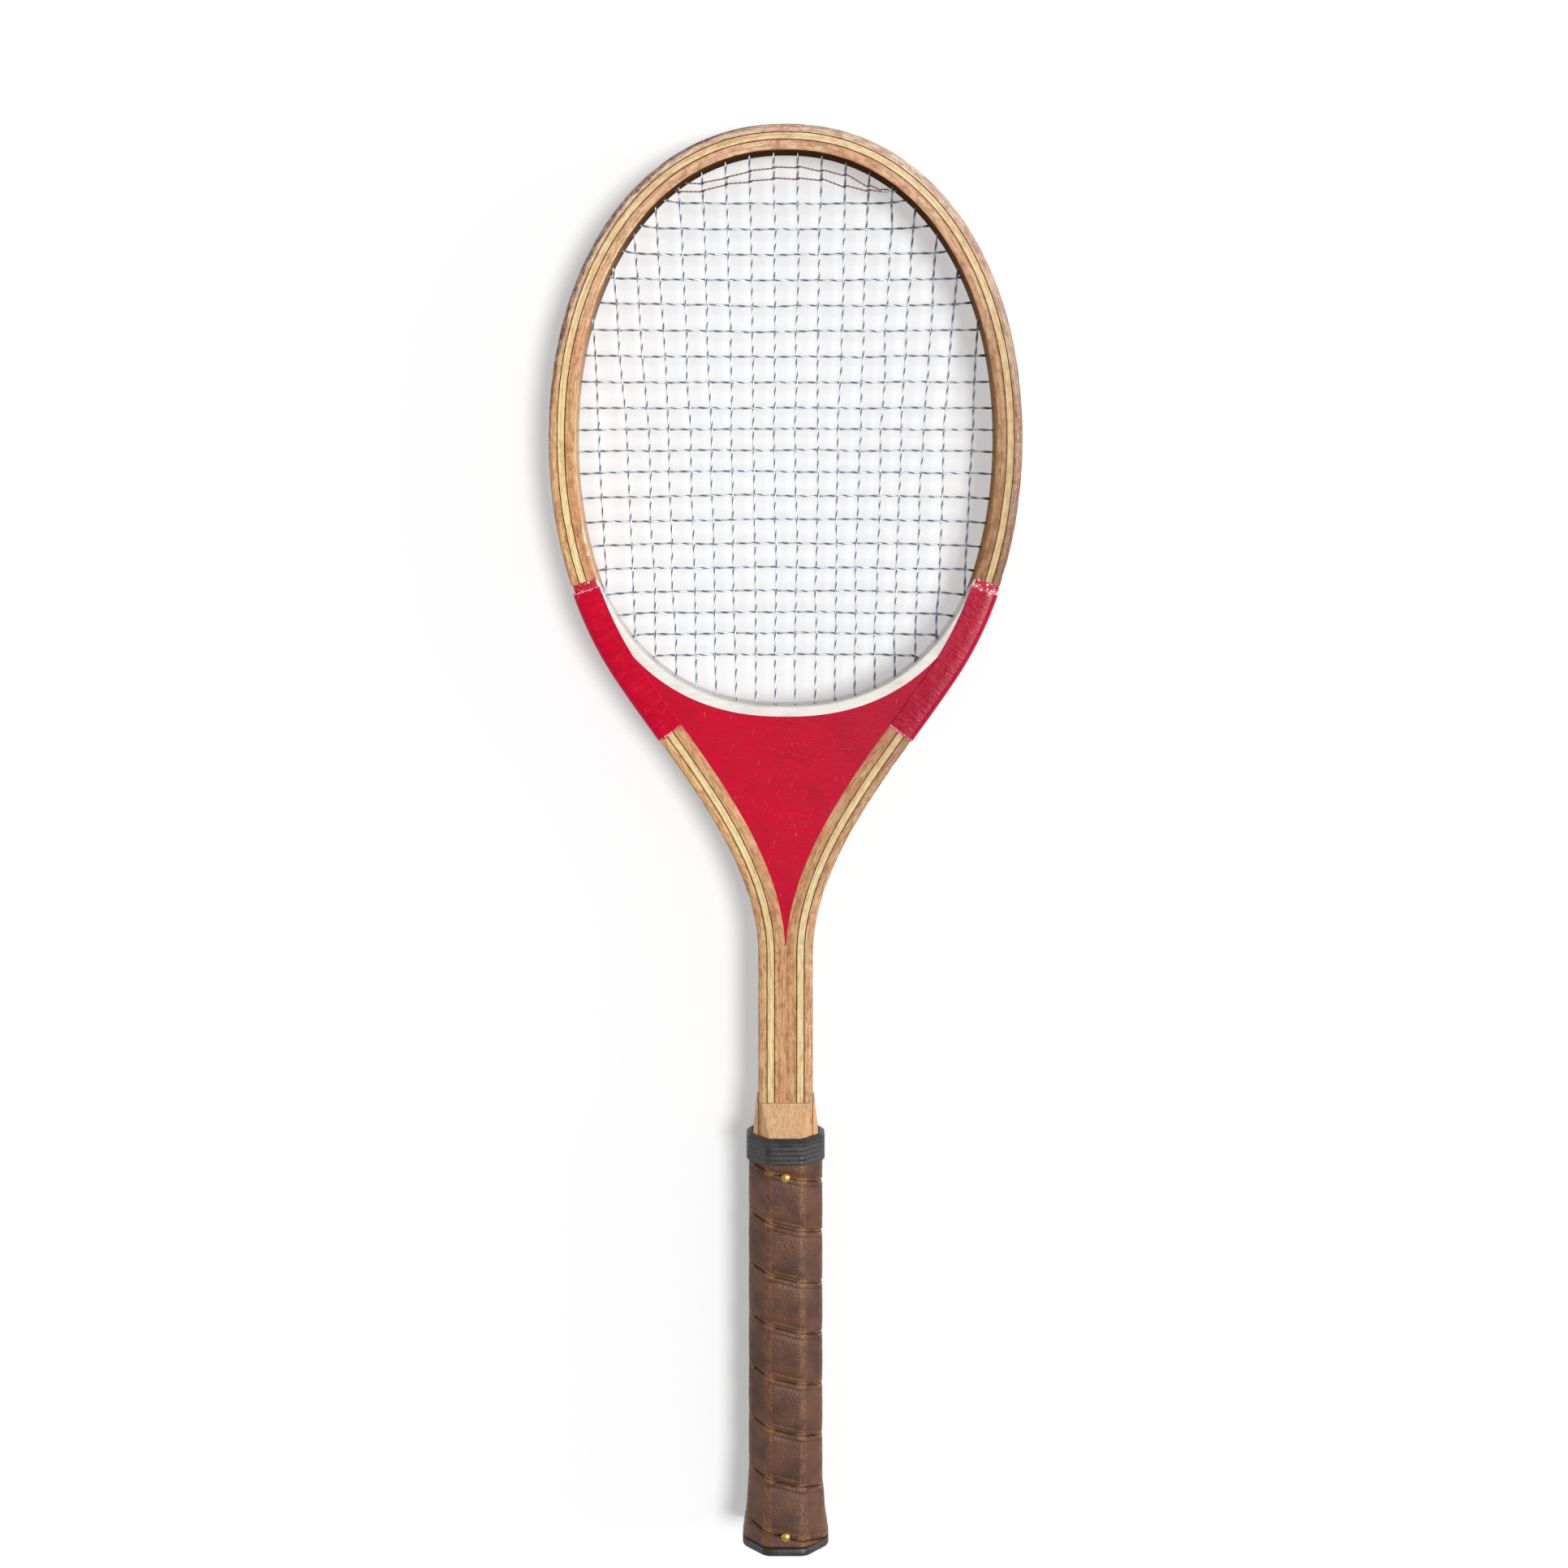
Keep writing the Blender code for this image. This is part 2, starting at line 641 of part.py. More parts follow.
def throat_wedge(drills, limbs):
    """Fills the V below the crown strip; its sides are trimmed by the limbs."""
    below = CROWN_THICKNESS + GLUE_LINE
    top_edge = [point - miter * below for point, miter in zip(CROWN, CROWN_MITERS)]
    top_edge = [point for point in reversed(top_edge) if point.y < ELLIPSE_ENDS + CROWN_THICKNESS]
    shoulder = station_at(top_edge[0].y, LIMB_WIDTH / 2)
    tip = wedge_tip_station()
    stations = [tip, *range(math.ceil(tip), math.ceil(shoulder)), shoulder]
    side = [rim(station, LIMB_WIDTH / 2) for station in stations]
    outline = side + top_edge + [mirrored(point) for point in reversed(side)]
    part = flat_outline("throat_wedge", outline, RED_LACQUER, HOOP_THICKNESS / 2)
    cut(part, limbs, drills)


def sleeve_section():
    """A C round the limb's face, outer side and back, dipped where the groove runs."""
    edge = LIMB_WIDTH - GLUE_LINE
    layers = []
    for grown in (GLUE_LINE, GLUE_LINE + SLEEVE_THICKNESS):
        lip = GROOVE_HALF_WIDTH - grown
        upper = [(GROOVE_DEPTH - grown, lip), (-grown, lip), *corner_arc(OUTER_ROUND + grown),
                 (edge, HOOP_THICKNESS / 2 + grown)]
        layers.append(both_sides(upper))
    inside, outside = layers
    return inside + outside[::-1]


def shoulder_sleeves(drills):
    low = station_at(SLEEVE_END)
    high = station_at(SLEEVE_TOP)
    last = len(RIM) - 1
    for name, path in (("shoulder_sleeve_right", rim_path(low, high)),
                       ("shoulder_sleeve_left", rim_path(last - high, last - low))):
        cut(swept(name, sleeve_section(), path, RED_LACQUER), drills)


# Strings and cords
def string_bed():
    mains = main_route()
    crosses = cross_route()
    tube("main_strings", mains, STRING_RADIUS, STEEL_WIRE, 0)
    tube("cross_strings", crosses, STRING_RADIUS, STEEL_WIRE, 0)
    print(f"least gap along the mains {least_gap(mains) * 1000:.2f} mm")
    print(f"least gap along the crosses {least_gap(crosses) * 1000:.2f} mm")


def main_level(main, height):
    """How high a main lies where it comes down from its top hole to its first cross."""
    top = MAIN_TOPS[main].mouth.y
    first = next(point for cross in range(len(CROSS_HEIGHTS))
                 if (point := crossing(main, cross)) and not near_mouth(point, cross))
    return MAIN_LEVEL * max(0, min(1, (height - first.y) / (top - first.y)))


def trebling_row(name, start_height, first_main, heights, side, beside):
    """A cord over one main and under the next, from the rim to the crimp."""
    depth = LIMB_WIDTH + CORD_RADIUS + GAP
    station = rim_hit(Vector((0, start_height)), Vector((1, 0)), depth, WIDEST_STATION, TIP_STATION)
    route = [at(mirrored(rim(station, depth)), 0)]
    for step, height in enumerate(heights):
        main = first_main + step
        route.append(at(main_point(main, height), main_level(main, height) + side * CORD_WEAVE))
        side = -side
    route.append(at(CRIMP_START, 0) + Vector((-GAP, beside, 0)))
    tube(name, route, CORD_RADIUS, MAROON_CORD, 0)


def trebling():
    beside = CORD_RADIUS + GAP / 2
    trebling_row("trebling_upper", UPPER_ROW_START, UPPER_ROW_MAIN, UPPER_ROW, 1, beside)
    trebling_row("trebling_lower", LOWER_ROW_START, LOWER_ROW_MAIN, LOWER_ROW, -1, -beside)
    shape = bmesh.new()
    place = Matrix.Translation(at(CRIMP_START, 0) + Vector((CRIMP_LENGTH / 2, 0, 0)))
    lying = place @ Matrix.Rotation(math.pi / 2, 4, "Y")
    bmesh.ops.create_cone(shape, cap_ends=True, segments=CRIMP_SIDES, radius1=CRIMP_RADIUS,
                          radius2=CRIMP_RADIUS, depth=CRIMP_LENGTH, matrix=lying)
    placed_bmesh("trebling_crimp", shape, STEEL_WIRE)


# Handle, butt and grip
def octagon(y, growth=0.0):
    """Corners of the handle's core at y, moved outward by growth."""
    width = CORE_HALF_WIDTH + growth
    height = CORE_HALF_HEIGHT + growth
    chamfer = CORE_CHAMFER + growth * (2 - math.sqrt(2))
    quarter = [(width, height - chamfer), (width - chamfer, height)]
    quarter += [(-x, z) for x, z in reversed(quarter)]
    return [Vector((x, y, z)) for x, z in quarter + [(-x, -z) for x, z in quarter]]


def handle_slab(name, shaft_half, core_half, place):
    """A slab glued to one side of the shaft, chamfered at 45 degrees and faired into it."""
    inner = shaft_half + GLUE_LINE
    reach = CORE_HALF_WIDTH + CORE_HALF_HEIGHT - CORE_CHAMFER - inner
    sections = []
    profile = ((HANDLE_START, core_half), (HANDLE_END - HANDLE_TAPER, core_half),
               (HANDLE_END, inner + 2 * GAP))
    for y, outer in profile:
        upper = reach - (outer - inner)
        sections.append([place(across, y, out) for across, out in
                         ((reach, inner), (upper, outer), (-upper, outer), (-reach, inner))])
    return lofted(name, sections, BASSWOOD)


def handle_slabs():
    face = HOOP_THICKNESS / 2
    side = SHAFT_HALF_WIDTH
    handle_slab("handle_slab_back", face, CORE_HALF_HEIGHT, lambda across, y, out: (across, y, -out))
    handle_slab("handle_slab_right", side, CORE_HALF_WIDTH, lambda across, y, out: (out, y, across))
    handle_slab("handle_slab_left", side, CORE_HALF_WIDTH, lambda across, y, out: (-out, y, across))
    return handle_slab("handle_slab_front", face, CORE_HALF_HEIGHT, lambda across, y, out: (across, y, out))


def flare_growth(y):
    """How far the leather's bed stands out from the core: the flare, then its line down to the core."""
    knee, knee_growth = FLARE_KNEE
    return float(np.interp(y, [HANDLE_START, knee, FLARE_RUNS_OUT], [FLARE + GAP, knee_growth + GAP, 0]))


def butt_flare():
    outside = [octagon(y, flare_growth(y)) for y in (HANDLE_START, FLARE_KNEE[0], FLARE_ENDS)]
    inside = [octagon(y, GAP) for y in (FLARE_ENDS, HANDLE_START)]
    return lofted("butt_flare", outside + inside, BASSWOOD, ring=True)


def butt_cap():
    growth = REST_HEIGHT - CORE_HALF_HEIGHT
    profile = [(0, growth - CAP_BEVEL), (CAP_BEVEL, growth), (CAP_THICKNESS, growth)]
    lofted("butt_cap", [octagon(y, grown) for y, grown in profile], BLACK_TAPE)


def leather_grip():
    """One strip wound up the octagon, its ends cut square to the handle."""
    pitch = LEATHER_WIDTH + LEATHER_SEAM
    corners = 8
    sections = []
    turns = (LEATHER_END - LEATHER_NARROWEST - HANDLE_START) / pitch + 1
    for k in range(1, int(turns * corners) + 1):
        lower = max(HANDLE_START, HANDLE_START + pitch * (k / corners - 1))
        upper = min(LEATHER_END, HANDLE_START + pitch * k / corners - LEATHER_SEAM)
        face = GAP + LEATHER_THICKNESS
        outline = ((lower, GAP), (upper, GAP), (upper, face), (lower, face))
        sections.append([octagon(y, flare_growth(y) + grown)[k % corners] for y, grown in outline])
    return lofted("leather_grip", sections, LEATHER)


def grip_band():
    start = LEATHER_END - BAND_WIDTH
    under = GAP + LEATHER_THICKNESS + GAP
    over = under + BAND_THICKNESS
    profile = [(start, under), (LEATHER_END, under), (LEATHER_END, over), (start, over)]
    lofted("grip_band", [octagon(y, grown) for y, grown in profile], BLACK_TAPE, ring=True)


def turned(name, profile, y, z, finish):
    """A closed turned body, upright at y and z: a profile of (radius, height) from axis to axis."""
    shape = bmesh.new()
    verts = [shape.verts.new((radius, y, z + height)) for radius, height in profile]
    edges = [shape.edges.new(pair) for pair in zip(verts, verts[1:])]
    bmesh.ops.spin(shape, geom=verts + edges, cent=(0, y, z), axis=(0, 0, 1), angle=2 * math.pi,
                   steps=TACK_SIDES, use_merge=True)
    bmesh.ops.remove_doubles(shape, verts=shape.verts, dist=1e-6)
    return placed_bmesh(name, shape, finish)


def tacks(*pierced):
    """Tacks through the ends of the leather, on the front of the handle."""
    shoulder = (TACK_HEAD_RADIUS * TACK_SHOULDER, TACK_HEAD_HEIGHT * TACK_SHOULDER)
    head = [(0, TACK_HEAD_HEIGHT), shoulder, (TACK_HEAD_RADIUS, 0)]
    shank = [(TACK_SHANK_RADIUS, 0), (TACK_SHANK_RADIUS, -TACK_SHANK_LENGTH), (0, -TACK_SHANK_LENGTH)]
    bore = [(0, TACK_HEAD_HEIGHT)] + [(TACK_SHANK_RADIUS + GAP, height)
                                      for height in (TACK_HEAD_HEIGHT, -TACK_SHANK_LENGTH - GAP)]
    bore.append((0, -TACK_SHANK_LENGTH - GAP))
    for name, y in TACK_PLACES.items():
        seat = CORE_HALF_HEIGHT + flare_growth(y - TACK_HEAD_RADIUS) + GAP + LEATHER_THICKNESS + GAP
        turned(name, head + shank, y, seat, BRASS)
        tool = turned(name + "_bore", bore, y, seat, None)
        for part in pierced:
            cut(part, tool)


def build():
    drills = hoop()
    limbs = limb_clearance()
    crown_strip(drills, limbs)
    throat_wedge(drills, limbs)
    shoulder_sleeves(drills)
    string_bed()
    trebling()
    butt_cap()
    grip_band()
    tacks(handle_slabs(), butt_flare(), leather_grip())


build()
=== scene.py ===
"""Looks of the wooden tennis racket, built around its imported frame.

Racket measures are metres: x to the right, y from the butt face towards the tip, z from the
mid-plane up. placed() carries them to the frame's own origin, on the floor under the middle of
the racket's length.
"""

import math
from collections import namedtuple

import bmesh
import bpy
import numpy as np
from mathutils import Matrix, Vector, noise
from mathutils.geometry import interpolate_bezier

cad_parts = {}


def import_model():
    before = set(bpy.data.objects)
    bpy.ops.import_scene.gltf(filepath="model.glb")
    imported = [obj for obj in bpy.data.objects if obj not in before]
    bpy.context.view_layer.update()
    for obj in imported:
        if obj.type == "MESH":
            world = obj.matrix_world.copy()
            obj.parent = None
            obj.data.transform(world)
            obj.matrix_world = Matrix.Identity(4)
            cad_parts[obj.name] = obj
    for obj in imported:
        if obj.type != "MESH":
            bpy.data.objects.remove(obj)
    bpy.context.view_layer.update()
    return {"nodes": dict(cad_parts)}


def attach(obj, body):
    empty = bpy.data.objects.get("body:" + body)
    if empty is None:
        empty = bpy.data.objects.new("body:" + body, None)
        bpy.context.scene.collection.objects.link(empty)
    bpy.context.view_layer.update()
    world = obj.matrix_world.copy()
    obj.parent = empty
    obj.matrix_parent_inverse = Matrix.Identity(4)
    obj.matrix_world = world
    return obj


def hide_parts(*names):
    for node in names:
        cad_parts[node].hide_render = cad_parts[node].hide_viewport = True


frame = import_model()

# Outline, as in the part
LENGTH = 0.6858
HEAD_HALF_WIDTH = 0.1143
WIDEST = 0.5334
UPPER_POWER = 2.13
LOWER_DEPTH = 0.165
ELLIPSE_ENDS = 0.420
SHAFT_ENDS = 0.285
SHAFT_HALF_WIDTH = 0.01315
THROAT_PULL = 0.048
HANDLE_START = 0.0043
CURVE_POINTS = 300
RIM_STEP = 0.0015

# Section of the hoop
HALF_THICKNESS = 0.0095
GLUE_LINE = 0.00015
PLY_EDGES = {"outer_ply": (0.0, 0.0040), "outer_veneer": (0.0040, 0.0044), "centre_ply": (0.0044, 0.0076),
             "inner_veneer": (0.0076, 0.0080), "inner_ply": (0.0080, 0.0130)}
PLIES_MIDDLE = 0.0060
VENEER_OFFSET = 0.0018
VENEER_HALF_WIDTH = 0.0002
GLUE_RUN = 0.0002
GLUE_SOFT = 0.00003
LIMB_WIDTH = 0.0130
OUTER_ROUND = 0.0022
INNER_ROUND = 0.0014
NO_ROUND = 0.00005
HAIR = 0.00001
EDGE_REACH = 0.0003
ARC_POINTS = 5
GROOVE_DEPTH = 0.0020
GROOVE_HALF_WIDTH = 0.0030
# The groove's wall: shares of its depth, and distances beyond its half width
GROOVE_WALL = ((1.0, -0.0004), (0.85, -0.0001), (0.08, 0.0), (0.0, 0.0003))
GROOVE_ENDS = 0.314
GROOVE_RUN_OUT = 0.006
DENT_DEPTH = 0.00035
DENT_SCALE = 130.0
DENT_SCALE_ROUND = 400
CORNER_FADES = 0.006

# Throat
CROWN_DEPTH = 0.1284
CROWN_POWER = 2.3
CROWN_THICKNESS = 0.005
CROWN_STARTS = 0.460
WEDGE_TIP_HALF_WIDTH = 0.0003
CLOSED_HALF_WIDTH = 1.1 * WEDGE_TIP_HALF_WIDTH
WEDGE_TOP_DEPTH = 0.55 * LIMB_WIDTH
WEDGE_POINTS = 90
CUTTER_REACH = 0.01
CUTTER_MARGIN = 0.004

# Shoulder sleeves and the paint above them
SLEEVE_TOP = 0.459
SLEEVE_END = 0.388
SLEEVE_THICKNESS = 0.0005
SLEEVE_RAGGED = 0.0006
RAGGED_SCALE = 900
SLEEVE_STATIONS = (0.006, 0.0095)
PAINT_TOP = 0.4627
WHITE_TOP = 0.4622
WHITE_SLOPE = 0.4
# Heights between which painted white glints run up the left inner edge
PAINTED_GLINT_HEIGHTS = (0.4745, 0.4895)
PAINT_RAGGED = 0.0028
PAINT_CHIPS = (0.66, 0.69)

# Strings
HOLE_RADIUS = 0.00095
HOLE_SIDES = 16
MAIN_LEVEL = 0.001
CROSS_LEVEL = -0.001
MAIN_WEAVE = 0.00045
CROSS_WEAVE = 0.00085
MAIN_COUNT = 18
MAIN_PITCH = 0.0103
OUTER_MAIN = 0.0907
FAN_MIDDLE = 0.5378
FAN_UPPER = 1.0
OUTER_FAN_UPPER = 0.5
FAN_LOWER = 0.57
FIRST_CROSS = 0.6481
CROSS_GAPS = [0.0124] * 8 + [0.0103] * 3 + [0.0116] * 5 + [0.0103] * 3
CROSS_BOW = 0.0018
BOW_MIDDLE = 0.552
BOW_RANGE = 0.05
FANNED_MAINS = 8
FAN_EXIT_FIRST = 0.322
FAN_EXIT_STEP = 0.0146
NEAR_MOUTH = 0.0045
MOUTH_CLEARANCE = 0.00095
MOUTH_BEND = 0.0004
LINING_MARGIN = 0.010
LOOP_DEPTH = 0.00115
SLEEVE_LOOP_DEPTH = 0.0004
TAIL = 0.007
STRING_STEP = 0.0011
SMOOTHINGS = 3
TWIST_PITCH = 0.014
# Each strand's radius, its distance from the middle, the length of a turn, and its sides
WIRE_TWIST = (0.00034, 0.00031, TWIST_PITCH, 7)
WANDER = 0.0011
WANDER_STARTS = 0.004
WANDER_FULL = 0.018
WANDER_TOP = (0.652, 0.636)

# Trebling cords
CORD_RADIUS = 0.0004
THREAD_RADIUS = 0.00026
THREAD_TWIST = (THREAD_RADIUS, 0.00019, 0.0042, 6)
WRAP_RADIUS = 0.00074
WRAP_REACH = 0.0010
WRAP_STARTS = 0.65
CORD_STEP = 0.00035
# Where each cord starts on the wall, its first main, its height at each main, and its side of the crimp
TREBLING = {
    "trebling_upper": (0.6580, 5, (0.6580, 0.6606, 0.6638, 0.6655, 0.6658, 0.6641, 0.6620, 0.6566), 1),
    "trebling_lower": (0.6548, 4, (0.6536, 0.6542, 0.6574, 0.6588, 0.6602, 0.6602, 0.6597, 0.6565,
                                   0.6545), -1)}
CRIMP_START = (0.0467, 0.6545)
CRIMP_LENGTH = 0.0034
CRIMP_RADIUS = 0.0009
CRIMP_HALF_HEIGHT = 0.85 * CRIMP_RADIUS
CRIMP_PINCH = 0.22
CRIMP_MOUTH = 0.9
CRIMP_STATIONS = 15
CRIMP_SIDES = 20
CRIMP_GRIP = 0.001
STUB_BEND = 0.0004
STUB_DROP = 0.0016

# Handle
CORE_HALF_WIDTH = 0.0158
CORE_HALF_HEIGHT = 0.0138
CORE_CHAMFER = 0.0080
CORNER_ROUND = 0.0022
SIDE_POINTS = 3
FLARE = 0.0029
FLARE_KNEE = (0.012, 0.0015)
FLARE_RUNS_OUT = 0.033
CAP_GROWTH = 0.0049
CAP_THICKNESS = 0.004
GAP = 0.0003
LEATHER_THICKNESS = 0.0016
LEATHER_END = 0.1970
LEATHER_WIDTH = 0.0240
LEATHER_SEAM = 0.0005
LEATHER_NARROWEST = 0.002
LEATHER_LIFT = 0.00008
BAND_WIDTH = 0.011
BAND_THICKNESS = 0.0009
BAND_TURNS = 5
TACK_PLACES = {"butt_tack": 0.009, "grip_tack": 0.180}
TACK_SIDES = 24
TACK_DEPTH = 0.0026
TACK_SHANK_RADIUS = 0.0006
TACK_HEAD_RADIUS = 0.0022
TACK_HEAD_HEIGHT = 0.0009
REST_HEIGHT = CORE_HALF_HEIGHT + CAP_GROWTH

# The photograph's frame, in its pixels, drawn in a little so that the whole racket shows
PHOTO_SIZE = 1932
HEAD_PIXELS = 597
TIP_ROW = 157.5
AXIS_ROW = 607
AXIS_COLUMN = 968
CAMERA_DISTANCE = 1.0
DRAWN_IN = 0.98
SHOWN_AXIS_ROW = 592
SENSOR_MM = 36.0

# Floor and light
FLOOR_HALF = 4.0
FLOOR_DROP = 0.0004
FLOOR_SEEN = (0.62, 0.62, 0.62, 1.0)
FLOOR_GLOW = 0.38
FLOOR_BOUNCE = (0.45, 0.45, 0.45, 1.0)
SKY_SEEN_LOW = 0.95
SKY_SEEN_OVERHEAD = 0.40
SKY_LIGHT_LOW = 0.23
SKY_LIGHT_OVERHEAD = 0.19
# Where each light comes from, its strength, and whether it casts a shadow
LIGHTS = {"key": ((0.42, 0.0, 1.0), 2.55, True), "fill_right": ((1.0, 0.1, 0.25), 0.8, True),
          "fill_left": ((-1.0, 0.0, 0.2), 0.35, False)}
LIGHT_DEGREES = 22.0

Hole = namedtuple("Hole", "mouth outward loop arc")

looks = bpy.data.collections.new("wooden_tennis_racket_looks")
bpy.context.scene.collection.children.link(looks)


# Numbers and curves
def unit(vectors):
    return vectors / np.linalg.norm(vectors, axis=-1, keepdims=True)


def turned_round(count):
    """Even angles once round."""
    return np.arange(count) * 2 * math.pi / count


def arc_lengths(points):
    """Length along a line of points to each of them."""
    return np.concatenate([[0], np.cumsum(np.linalg.norm(np.diff(points, axis=0), axis=1))])


def smoothstep(value, low, high):
    """A smooth step from 0 at low to 1 at high, whichever of them is larger."""
    t = np.clip((value - low) / (high - low), 0, 1)
    return t * t * (3 - 2 * t)


def crossed(a, b):
    return a[0] * b[1] - a[1] * b[0]


def bisected(side_of, low, high):
    """The value between low and high where side_of changes sign."""
    low_side = side_of(low) > 0
    for _ in range(40):
        middle = (low + high) / 2
        if (side_of(middle) > 0) == low_side:
            low = middle
        else:
            high = middle
    return (low + high) / 2


class Path:
    """A flat curve at even steps, with the normal on its left."""

    def __init__(self, points, step):
        given = arc_lengths(points)
        self.length = given[-1]
        self.arcs = np.linspace(0, self.length, round(self.length / step) + 1)
        self.points = np.stack([np.interp(self.arcs, given, points[:, k]) for k in (0, 1)], axis=1)
        tangents = unit(np.gradient(self.points, axis=0))
        self.normals = np.stack([-tangents[:, 1], tangents[:, 0]], axis=1)

    def at(self, arc, depth=0.0):
        """Points at these lengths along the curve and depths to its left."""
        arc, depth = np.broadcast_arrays(arc, depth)
        return np.stack([np.interp(arc, self.arcs, self.points[:, k])
                         + depth * np.interp(arc, self.arcs, self.normals[:, k]) for k in (0, 1)], axis=-1)


def superellipse(half_width, half_height, power, angle):
    c = np.cos(angle)
    s = np.sin(angle)
    x = np.sign(c) * np.abs(c) ** (2 / power) * half_width
    y = np.sign(s) * np.abs(s) ** (2 / power) * half_height
    return np.stack([x, WIDEST + y], axis=-1)


def rim_outline():
    """Outer edge of the racket, up its right side and down its left."""
    drop = WIDEST - ELLIPSE_ENDS
    leave_angle = -math.asin(drop / LOWER_DEPTH)
    leave = superellipse(HEAD_HALF_WIDTH, LOWER_DEPTH, 2, leave_angle)
    slope = unit(np.array([HEAD_HALF_WIDTH ** 2 * drop / (LOWER_DEPTH ** 2 * leave[0]), 1]))
    shaft_top = np.array([SHAFT_HALF_WIDTH, SHAFT_ENDS])
    handles = (shaft_top, shaft_top + (0, THROAT_PULL), leave - slope * THROAT_PULL, leave)
    throat = [p[:2] for p in interpolate_bezier(*map(Vector, handles), CURVE_POINTS)]
    below = np.linspace(leave_angle, 0, CURVE_POINTS)
    above = np.linspace(0, math.pi / 2, CURVE_POINTS)
    lower = superellipse(HEAD_HALF_WIDTH, LOWER_DEPTH, 2, below)
    upper = superellipse(HEAD_HALF_WIDTH, LENGTH - WIDEST, UPPER_POWER, above)
    right = np.vstack([[[SHAFT_HALF_WIDTH, HANDLE_START]], np.array(throat), lower[1:], upper[1:]])
    return np.vstack([right, right[-2::-1] * (-1, 1)])


def crown(angle):
    return superellipse(HEAD_HALF_WIDTH - LIMB_WIDTH, CROWN_DEPTH, CROWN_POWER, angle)


CROWN_SPREAD = bisected(lambda angle: crown(angle)[1] - CROWN_STARTS, -math.pi / 2, 0) + math.pi / 2
RIM = Path(rim_outline(), RIM_STEP)
CROWN = Path(crown(-math.pi / 2 + np.linspace(-CROWN_SPREAD, CROWN_SPREAD, CURVE_POINTS)), RIM_STEP)
TIP_ARC = RIM.length / 2
WIDEST_ARC = bisected(lambda arc: RIM.at(arc)[1] - WIDEST, 0, TIP_ARC)


def arc_at(height, depth=0.0):
    """Length along the right limb at this distance from the butt."""
    return bisected(lambda arc: RIM.at(arc, depth)[1] - height, 0, TIP_ARC)


SLEEVE_LOW = arc_at(SLEEVE_END)
SLEEVE_HIGH = arc_at(SLEEVE_TOP)


def rim_hit(origin, direction, depth, low, high):
    """Length along the rim where a line meets it at this depth."""
    return bisected(lambda arc: crossed(direction, RIM.at(arc, depth) - origin), low, high)


# Where the strings run
CROSS_HEIGHTS = [FIRST_CROSS - sum(CROSS_GAPS[:k]) for k in range(len(CROSS_GAPS) + 1)]


def main_point(main, height):
    """Point of a main, counted from the left. The mains spread towards the tip."""
    rank = main - (MAIN_COUNT - 1) / 2
    outermost = main in (0, MAIN_COUNT - 1)
    offset = math.copysign(OUTER_MAIN if outermost else abs(rank) * MAIN_PITCH, rank)
    upper = OUTER_FAN_UPPER if outermost else FAN_UPPER
    fan = upper if height > FAN_MIDDLE else FAN_LOWER
    return np.array([offset * (1 + fan * (height - FAN_MIDDLE)), height])


def cross_height(cross, x):
    """Crosses bow away from the middle of the bed towards their ends."""
    rise = CROSS_BOW * np.clip((CROSS_HEIGHTS[cross] - BOW_MIDDLE) / BOW_RANGE, -1, 1)
    return CROSS_HEIGHTS[cross] + rise * (x / HEAD_HALF_WIDTH) ** 2


def loop_depth(height):
    """The loops lie on the groove's floor, which the sleeves line."""
    lined = (height > SLEEVE_END - LINING_MARGIN) & (height < SLEEVE_TOP + LINING_MARGIN)
    return np.where(lined, SLEEVE_LOOP_DEPTH, LOOP_DEPTH)


def square_hole(arc):
    """A hole drilled square through the rim."""
    mouth = RIM.at(arc, LIMB_WIDTH)
    return Hole(mouth, unit(RIM.at(arc) - mouth), RIM.at(arc, loop_depth(RIM.at(arc)[1])), arc)


def slanted_hole(mouth, outward):
    """A hole drilled from the crown's edge out through the limb."""
    depth = loop_depth(RIM.at(rim_hit(mouth, outward, 0, 0, WIDEST_ARC))[1])
    arc = rim_hit(mouth, outward, depth, 0, WIDEST_ARC)
    return Hole(mouth, outward, RIM.at(arc, depth), arc)


def flipped(hole):
    """The same hole on the racket's other side."""
    return Hole(*(point * (-1, 1) for point in hole[:3]), RIM.length - hole.arc)


def crown_hit(origin, direction):
    """Where a line meets the crown's right half, and the outward normal there."""
    arc = bisected(lambda a: crossed(direction, CROWN.at(a) - origin), CROWN.length / 2, CROWN.length)
    return CROWN.at(arc), unit(CROWN.at(arc) - CROWN.at(arc, 1))


def right_main_holes(rank):
    """Top and bottom holes of a right-hand main, counted from the middle."""
    main = MAIN_COUNT // 2 + rank
    middle = main_point(main, FAN_MIDDLE)
    top = rim_hit(middle, main_point(main, LENGTH) - middle, LIMB_WIDTH, WIDEST_ARC, TIP_ARC)
    mouth, normal = crown_hit(middle, main_point(main, SHAFT_ENDS) - middle)
    if rank < FANNED_MAINS:
        normal = unit(RIM.at(arc_at(FAN_EXIT_FIRST + FAN_EXIT_STEP * rank)) - mouth)
    return square_hole(top), slanted_hole(mouth, normal)


def right_cross_hole(cross):
    height = cross_height(cross, HEAD_HALF_WIDTH)
    if height > CROWN_STARTS:
        return square_hole(arc_at(height, LIMB_WIDTH))
    return slanted_hole(*crown_hit(np.array([0, height]), np.array([1.0, 0.0])))


RIGHT_MAINS = [right_main_holes(rank) for rank in range(MAIN_COUNT // 2)]
MAIN_TOPS = [flipped(top) for top, _ in reversed(RIGHT_MAINS)] + [top for top, _ in RIGHT_MAINS]
MAIN_BOTTOMS = [flipped(low) for _, low in reversed(RIGHT_MAINS)] + [low for _, low in RIGHT_MAINS]
CROSS_RIGHTS = [right_cross_hole(cross) for cross in range(len(CROSS_HEIGHTS))]
CROSS_LEFTS = [flipped(hole) for hole in CROSS_RIGHTS]


